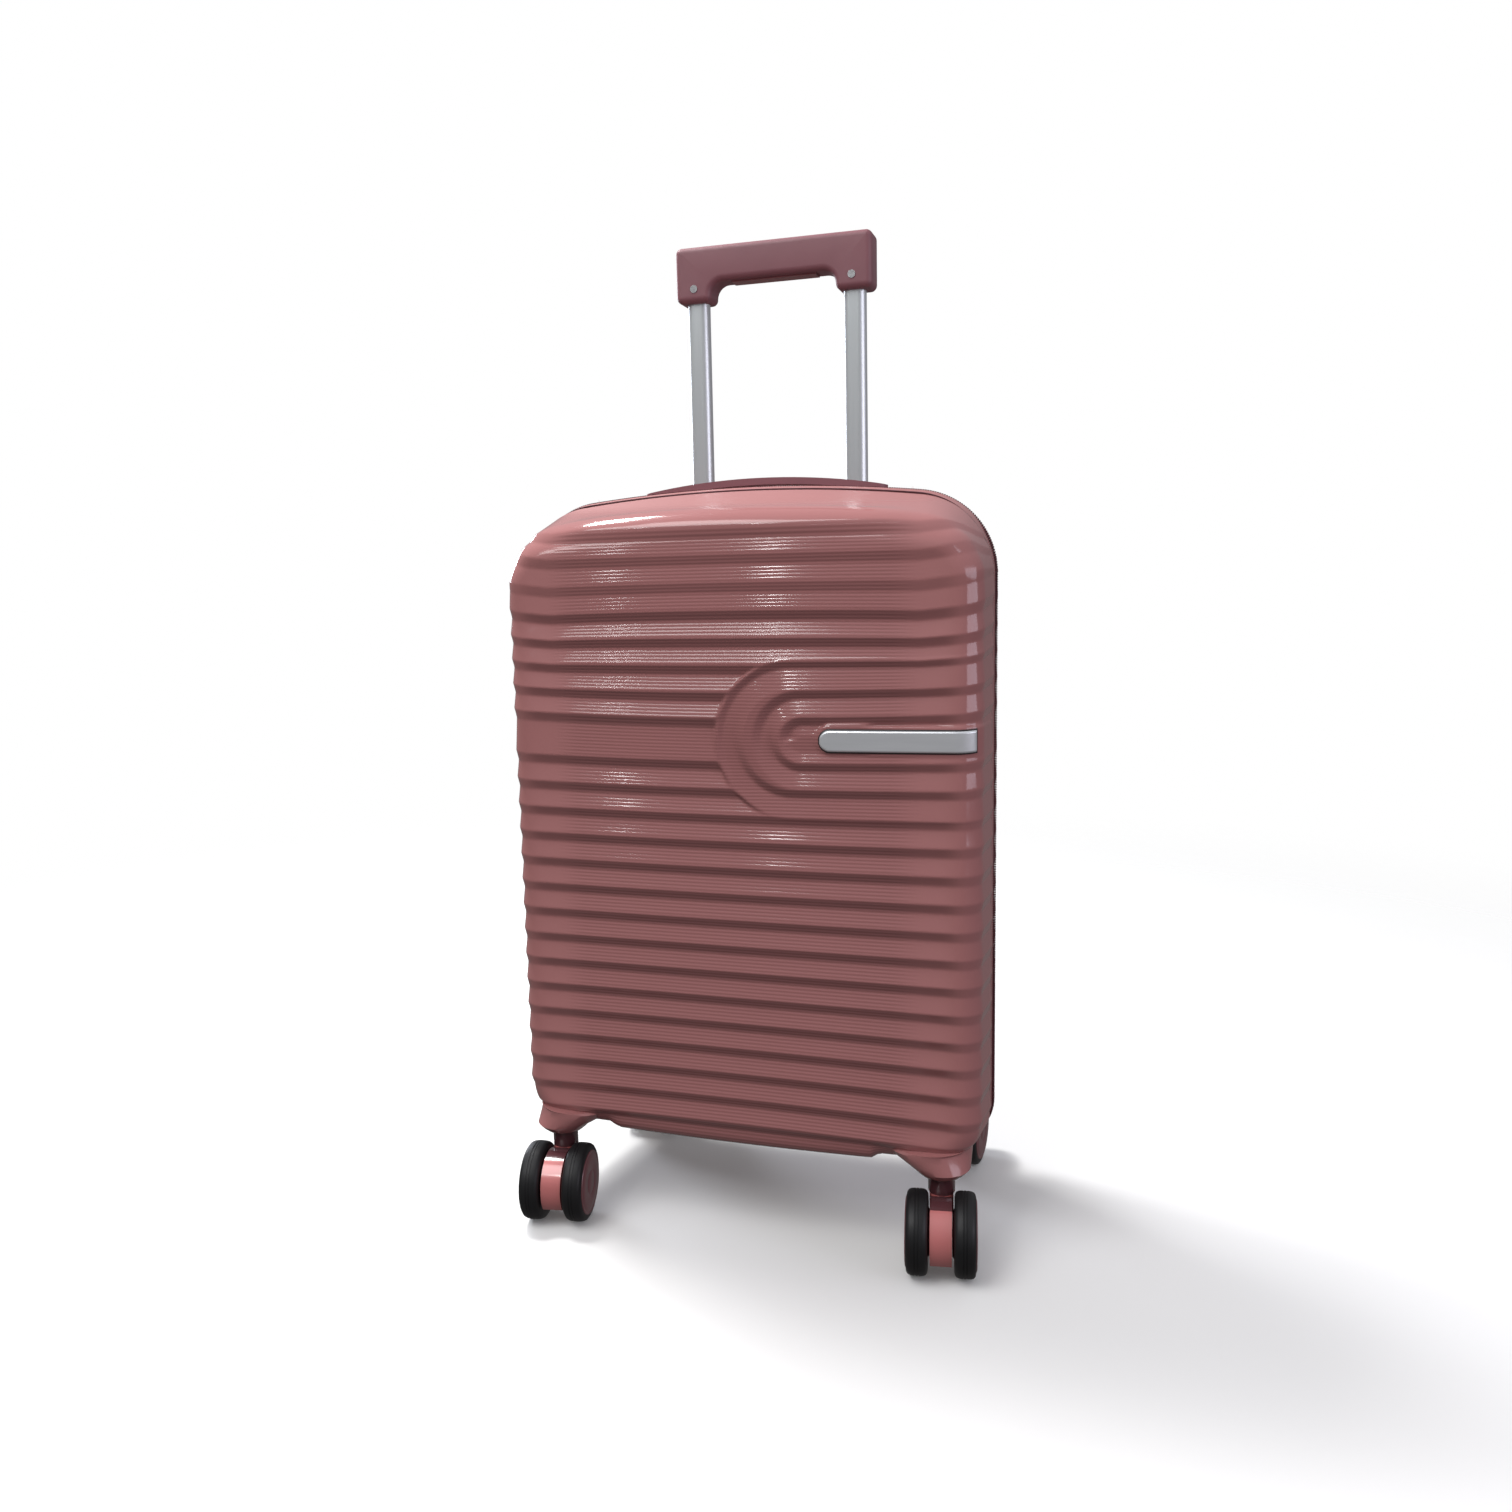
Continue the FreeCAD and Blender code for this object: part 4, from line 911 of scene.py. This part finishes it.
def mesh_pocket():
    """Net pocket on the lid's lining, slack at its elastic top edge."""
    low, high = cad_box_mm("mesh_pocket")
    count_u, count_v = 49, 33
    vertices = []
    for v in (row / (count_v - 1) for row in range(count_v)):
        for u in (column / (count_u - 1) for column in range(count_u)):
            x = mix(low[0] + 1.0, high[0] - 1.0, u)
            slack = 3.0 * math.sin(math.pi * u) ** 0.6 * v**0.7
            gather = 0.5 * math.sin(26 * math.pi * u) * v**3
            backing = ZIP_Y - FRONT["depth"] + x**2 / (2 * FRONT["bulge"]) + LINING_INSET + POCKET_GAP
            vertices.append((x, backing + slack + gather, mix(low[2], high[2] - 2.0, v)))
    obj = mesh_object("pocket_net", vertices, grid_faces(count_v, count_u, 0, True), looks["net"])
    thicken(obj, 0.5)
    place(obj, "lid", "strap", "mesh_pocket")
    top = np.array(vertices[-count_u:])
    sides = np.array(vertices).reshape(count_v, count_u, 3)
    border = np.concatenate([sides[:, 0][::-1], sides[0, 1:], sides[1:, -1]])
    for name, path, radius in (("pocket_elastic", top, 2.0), ("pocket_binding", border, 1.2)):
        place(tube_along(name, path, radius, looks["strap"], False), "lid", "strap")
    declare_sheet(obj, flat=((high[0] - low[0]) * MM, (high[2] - low[2]) * MM))


POCKET_GAP = 2.6
GUSSET_INSET = 5.1
GUSSET_BOTTOM = 150.0
GUSSET_TOP = 450.0


def hinge_cloth():
    """Gusset that joins both halves behind the zip on the case's right."""
    x = RIM[0] - GUSSET_INSET
    rows, columns = 31, 13
    vertices = []
    for row in range(rows):
        z = mix(GUSSET_BOTTOM, GUSSET_TOP, row / (rows - 1))
        for column in range(columns):
            y = mix(ZIP_Y - 12.0, ZIP_Y + 12.0, column / (columns - 1))
            vertices.append((x - 0.4 * math.cos((y - ZIP_Y) / 4.0), y, z))
    obj = mesh_object("hinge_cloth", vertices, grid_faces(rows, columns), looks["lining"])
    thicken(obj, CLOTH)
    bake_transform(obj)
    declare_sheet(obj)


straps()
buckle()
mesh_pocket()
hinge_cloth()


# Badge --------------------
BADGE_LEFT = 66.0
BADGE_END = 171.5
BADGE_HALF_HEIGHT = 7.5


def badge_piece(name, margin, low_level, high_level, bevel, slot, replaced):
    """Plate that follows the lid's surface round its corner; its left end is round."""
    radius = BADGE_HALF_HEIGHT + margin
    start = BADGE_LEFT - margin
    end = BADGE_END + margin
    turn_steps = [start + radius * (1 - math.cos(math.pi / 2 * k / 10)) for k in range(10)]
    straight = list(np.linspace(start + radius, end - bevel, 44)) + [end - bevel / 2, end]
    columns = turn_steps[1:] + straight
    flat = 1.0 - bevel / radius
    across = np.array([-1.0, -flat] + list(np.linspace(-0.78, 0.78, 9)) + [flat, 1.0])
    a = np.repeat(np.array(columns)[None, :], len(across), axis=0)
    half_height = np.sqrt(np.maximum(radius**2 - np.maximum(start + radius - a, 0.0) ** 2, 0.05))
    b = BADGE_Z + across[:, None] * half_height
    x, y, z, _ = shell_point(FRONT, a, b)
    base = np.stack([x, y, z], axis=2)
    normal = surface_normals(base)
    from_end = np.minimum(a - start, end - a)
    from_side = (1 - np.abs(across[:, None])) * half_height
    rise = np.clip(np.minimum(from_end, from_side) / bevel, 0, 1)
    rise[0], rise[-1], rise[:, 0], rise[:, -1] = 0, 0, 0, 0
    top = base + normal * mix(low_level, high_level, rise)[..., None]
    rim = base + normal * -0.5
    rows, count = a.shape
    vertices = np.concatenate([top.reshape(-1, 3), rim.reshape(-1, 3)])
    faces = grid_faces(rows, count) + edge_faces(rows, count, rows * count)
    obj = mesh_object(name, vertices, faces, looks[slot])
    clean(obj, join_points=False)
    place(obj, "lid", slot, replaced)


badge_piece("badge_plate_top", 0.0, 0.7, 1.9, 1.3, "badge", "badge_plate")
badge_piece("badge_seat", 0.8, 0.1, 0.9, 0.5, "dark_plastic", "badge_gasket")


# Casters --------------------
def lathe(name, profile, centre, axis, material, steps=56):
    """Solid of revolution; profile is (along the axis, radius) from end to end."""
    axis = Vector(axis).normalized()
    side = axis.orthogonal().normalized()
    other = axis.cross(side)
    centre = Vector(centre)
    vertices = []
    for along, radius in profile:
        for k in range(steps):
            turn = 2 * math.pi * k / steps
            out = side * math.cos(turn) + other * math.sin(turn)
            vertices.append(tuple(centre + axis * along + out * radius))
    return turned(name, vertices, len(profile), steps, material)


def turned(name, vertices, rings, steps, material):
    """Closed round solid from rings of points, with its corners kept sharp."""
    faces = ring_faces(rings, steps) + end_faces(rings, steps)
    obj = mesh_object(name, vertices, faces, material)
    obj.modifiers.new("corners", "EDGE_SPLIT").split_angle = math.radians(38.0)
    return obj


def joined(name, parts):
    """One object from several, keeping their places."""
    graph = bpy.context.evaluated_depsgraph_get()
    bm = bmesh.new()
    for part in parts:
        bm.from_mesh(part.evaluated_get(graph).to_mesh())
    obj = built(name, bm, parts[0].data.materials[0])
    for part in parts:
        bpy.data.objects.remove(part)
    return obj


TYRE_SPACING = 33.0
TYRE_PROFILE = [
    (-7.3, 20.2), (-7.5, 21.5), (-7.5, 24.6), (-7.1, 26.4), (-6.1, 27.8), (-4.4, 28.5), (-1.6, 28.8),
    (-1.3, 28.45), (-0.9, 28.45), (-0.6, 28.8), (0.6, 28.8), (0.9, 28.45), (1.3, 28.45), (1.6, 28.8),
    (4.4, 28.5), (6.1, 27.8), (7.1, 26.4), (7.5, 24.6), (7.5, 21.5), (7.3, 20.2),
]
CAP_PROFILE = [
    (5.4, 23.6), (7.6, 23.6), (8.05, 23.2), (8.15, 22.5), (7.85, 21.9), (7.85, 21.4), (8.2, 20.9),
    (8.35, 16.0), (8.45, 9.5), (8.2, 9.0), (8.2, 8.4), (8.5, 7.9), (8.6, 0.5),
]
DRUM_PROFILE = [(-8.8, 12.0), (-8.8, 15.0), (-7.6, 16.5), (-7.0, 22.2), (5.4, 22.2), (5.4, 12.0)]


def wheels(name, body):
    """A caster's two wheels: tyre, drum and outer cap."""
    joint = next(j for j in frame["joints"] if j["child"] == body)
    centre = Vector([v / MM for v in joint["pos_m"]])
    axle = Vector(joint["axis"]).normalized()
    tyres, hubs = [], []
    for side in (-1, 1):
        middle = centre + axle * side * TYRE_SPACING / 2
        tyres.append(lathe("tyre", TYRE_PROFILE, middle, axle, looks["tyre"], 72))
        hubs.append(lathe("cap", CAP_PROFILE, middle, axle * side, looks["hub"]))
        hubs.append(lathe("drum", DRUM_PROFILE, middle, axle * side, looks["hub"]))
    for label, parts, slot in (("tyres_", tyres, "tyre"), ("hubs_", hubs, "hub")):
        place(joined("visual_" + label + name, parts), body, slot, label + name)


DOME_PROFILE = [
    (62.3, 2.0), (62.3, 11.2), (63.4, 14.0), (66.0, 17.2), (69.5, 20.6),
    (73.5, 24.5), (77.5, 28.5), (82.0, 32.0), (83.5, 30.0), (83.5, 8.0),
]
DOME_REACH = 20.4


def dome(half, side, material, steps=64):
    """Cone under a corner whose outer side stays inside the shell's outline."""
    stem_x, stem_y = STEMS[half["sign"]]
    vertices = []
    for z, radius in DOME_PROFILE:
        shift = max(0.0, radius - DOME_REACH)
        centre_x = side * (stem_x - shift)
        centre_y = stem_y - half["sign"] * shift
        for k in range(steps):
            turn = 2 * math.pi * k / steps
            vertices.append((centre_x + radius * math.cos(turn), centre_y + radius * math.sin(turn), z))
    return turned("dome", vertices, len(DOME_PROFILE), steps, material)


def domes(half, label, body):
    """Housings that swell out of the shell's bottom corners over the casters."""
    parts = [dome(half, side, looks[label + "_shell"]) for side in (-1, 1)]
    mounts = label + "_caster_mounts"
    place(joined("visual_domes_" + label, parts), body, slots[mounts], mounts)


for caster in ("front_left", "front_right", "rear_left", "rear_right"):
    wheels(caster, "wheels_" + caster)
domes(FRONT, "front", "lid")
domes(REAR, "rear", "body")


# Grip --------------------
GRIP_LEG = 28.0
GRIP_UNDERSIDE = 709.5
GRIP_CURVE = 10.0
GRIP_CORNER = 4.8
GRIP_EDGE = 4.6


def arc_points(cx, cz, radius, start, end, steps=7):
    turns = [math.radians(start + (end - start) * k / steps) for k in range(steps + 1)]
    return [(cx + radius * math.cos(t), cz + radius * math.sin(t)) for t in turns]


def grip():
    """Moulded bar with two legs and soft edges all round."""
    low, high = cad_box_mm("handle_grip")
    corner, curve = GRIP_CORNER, GRIP_CURVE
    side_x, top_z, foot_z = high[0] - corner, high[2] - corner, low[2] + corner
    leg_inner = high[0] - GRIP_LEG
    leg_x, curve_x, curve_z = leg_inner + corner, leg_inner - curve, GRIP_UNDERSIDE - curve
    arcs = (
        (side_x, top_z, corner, 0, 90),
        (-side_x, top_z, corner, 90, 180),
        (-side_x, foot_z, corner, 180, 270),
        (-leg_x, foot_z, corner, 270, 360),
        (-curve_x, curve_z, curve, 180, 90),
        (curve_x, curve_z, curve, 90, 0),
        (leg_x, foot_z, corner, 180, 270),
        (side_x, foot_z, corner, 270, 360),
    )
    outline = np.array([point for arc in arcs for point in arc_points(*arc)])
    ahead = np.roll(outline, -1, axis=0) - np.roll(outline, 1, axis=0)
    inward = np.stack([-ahead[:, 1], ahead[:, 0]], axis=1)
    inward /= np.linalg.norm(inward, axis=1, keepdims=True)
    layers = []
    for side, y in ((1, low[1]), (-1, high[1])):
        bends = [math.radians(90 * k / 7) for k in range(8)]
        for bend in bends if side > 0 else bends[::-1]:
            inset = GRIP_EDGE * (1 - math.sin(bend))
            deep = y + side * GRIP_EDGE * (1 - math.cos(bend))
            layers.append([(x, deep, z) for x, z in outline + inward * inset])
    count = len(outline)
    sides = ring_faces(len(layers), count)
    faces = sides + [face[::-1] for face in end_faces(len(layers), count)]
    obj = mesh_object("grip_moulding", np.concatenate(layers), faces, looks["grip"])
    bm = bmesh.new()
    bm.from_mesh(obj.data)
    bm.faces.ensure_lookup_table()
    bmesh.ops.triangulate(bm, faces=bm.faces[len(sides):])
    bmesh.ops.recalc_face_normals(bm, faces=bm.faces)
    bm.to_mesh(obj.data)
    bm.free()
    place(obj, "handle_top", "grip", "handle_grip")


grip()


# Floor, light and camera --------------------
def studio():
    bpy.ops.mesh.primitive_plane_add(size=60.0, location=(0, 0, 0))
    floor = bpy.context.object
    floor.name = "floor"
    look = Look("floor_paper", (0.67, 0.665, 0.655), 0.9)
    look.tint(look.noise(3.0), 0.995, 1.005)
    look.shader.inputs["Emission Color"].default_value = (1.0, 1.0, 1.0, 1.0)
    look.shader.inputs["Emission Strength"].default_value = 0.06
    fade_out(look)
    floor.data.materials.append(look.material)
    floor.visible_diffuse = False
    floor.visible_glossy = False
    bpy.context.scene.world = sky()


def fade_out(look):
    """Far floor dissolves into the white surroundings, so no horizon shows."""
    length = look.add("ShaderNodeVectorMath", operation="LENGTH")
    look.link(look.place, length.inputs[0])
    away = look.step(length.outputs["Value"], 0.55, 1.7)
    clear = look.add("ShaderNodeBsdfTransparent")
    show_mix(look.tree, away, look.shader, clear, "Material Output")


def show_mix(tree, share, first, second, output):
    """Send a mix of two shader nodes to a tree's output."""
    blend = tree.nodes.new("ShaderNodeMixShader")
    for source, socket in zip((share, first.outputs[0], second.outputs[0]), blend.inputs):
        tree.links.new(source, socket)
    tree.links.new(blend.outputs["Shader"], tree.nodes[output].inputs["Surface"])


def sky():
    """Dim room light from above with a plain white backdrop behind the object."""
    world = bpy.data.worlds.new("studio")
    world.use_nodes = True
    tree = world.node_tree
    room = tree.nodes["Background"]
    coords = tree.nodes.new("ShaderNodeTexCoord")
    split = tree.nodes.new("ShaderNodeSeparateXYZ")
    tree.links.new(coords.outputs["Generated"], split.inputs["Vector"])
    ramp = tree.nodes.new("ShaderNodeValToRGB")
    low, high = ramp.color_ramp.elements
    low.position, high.position = 0.0, 0.85
    low.color, high.color = (0.22, 0.21, 0.21, 1.0), (0.80, 0.82, 0.86, 1.0)
    tree.links.new(split.outputs["Z"], ramp.inputs["Fac"])
    tree.links.new(ramp.outputs["Color"], room.inputs["Color"])
    room.inputs["Strength"].default_value = 0.75
    backdrop = tree.nodes.new("ShaderNodeBackground")
    backdrop.inputs["Strength"].default_value = 1.0
    backdrop.inputs["Color"].default_value = (1.0, 1.0, 1.0, 1.0)
    path = tree.nodes.new("ShaderNodeLightPath")
    show_mix(tree, path.outputs["Is Camera Ray"], room, backdrop, "World Output")
    return world


def area_light(name, at, towards, size, power, colour=(1, 1, 1), in_reflections=True):
    """Soft rectangular light, in metres."""
    data = bpy.data.lights.new(name, "AREA")
    data.shape = "RECTANGLE"
    data.size, data.size_y = size
    data.energy = power
    data.color = colour
    obj = bpy.data.objects.new(name, data)
    obj.location = at
    obj.rotation_euler = (Vector(towards) - Vector(at)).to_track_quat("-Z", "Y").to_euler()
    obj.visible_glossy = in_reflections
    bpy.context.scene.collection.objects.link(obj)


def camera():
    """Camera at the photograph's viewing angle."""
    data = bpy.data.cameras.new("camera")
    data.lens = 29.20
    data.sensor_width = 36.0
    obj = bpy.data.objects.new("camera", data)
    azimuth, pitch, roll = (math.radians(v) for v in (17.51, 7.93, -1.17))
    turn = Matrix.Rotation(azimuth, 4, "Z") @ Matrix.Rotation(math.pi / 2 - pitch, 4, "X")
    place_at = Matrix.Translation(Vector((273.25, -884.71, 477.52)) * MM)
    obj.matrix_world = place_at @ turn @ Matrix.Rotation(roll, 4, "Z")
    bpy.context.scene.collection.objects.link(obj)
    bpy.context.scene.camera = obj


studio()
area_light("key", (-1.0, -1.5, 2.6), (0, 0, 0.2), (1.6, 1.6), 46)
area_light("roof_window", (-0.655, 0.23, 1.50), (-0.09, -0.075, 0.52), (0.26, 0.14), 9)
area_light("lamp_right", (-0.51, -1.9, 1.62), (0.035, -0.087, 0.46), (0.10, 0.16), 2.2)
area_light("lamp_left", (-1.14, -1.67, 1.54), (-0.08, -0.087, 0.46), (0.06, 0.16), 1.2)
area_light("left_window", (-1.9, 1.3, 0.9), (-0.1, 0, 0.4), (0.7, 0.6), 24, (0.86, 0.9, 1.0))
area_light("right_window", (1.9, -0.5, 0.8), (0.1, 0, 0.4), (1.5, 0.9), 13, (0.90, 0.86, 1.0))
area_light("fill_light", (0.0, -1.1, 1.25), (0, 0, 0.4), (0.9, 0.9), 3, in_reflections=False)
area_light("back_light", (-1.25, 0.55, 2.75), (0, 0, 0.2), (0.8, 0.8), 56, in_reflections=False)
camera()
bpy.context.scene.view_settings.view_transform = "Standard"
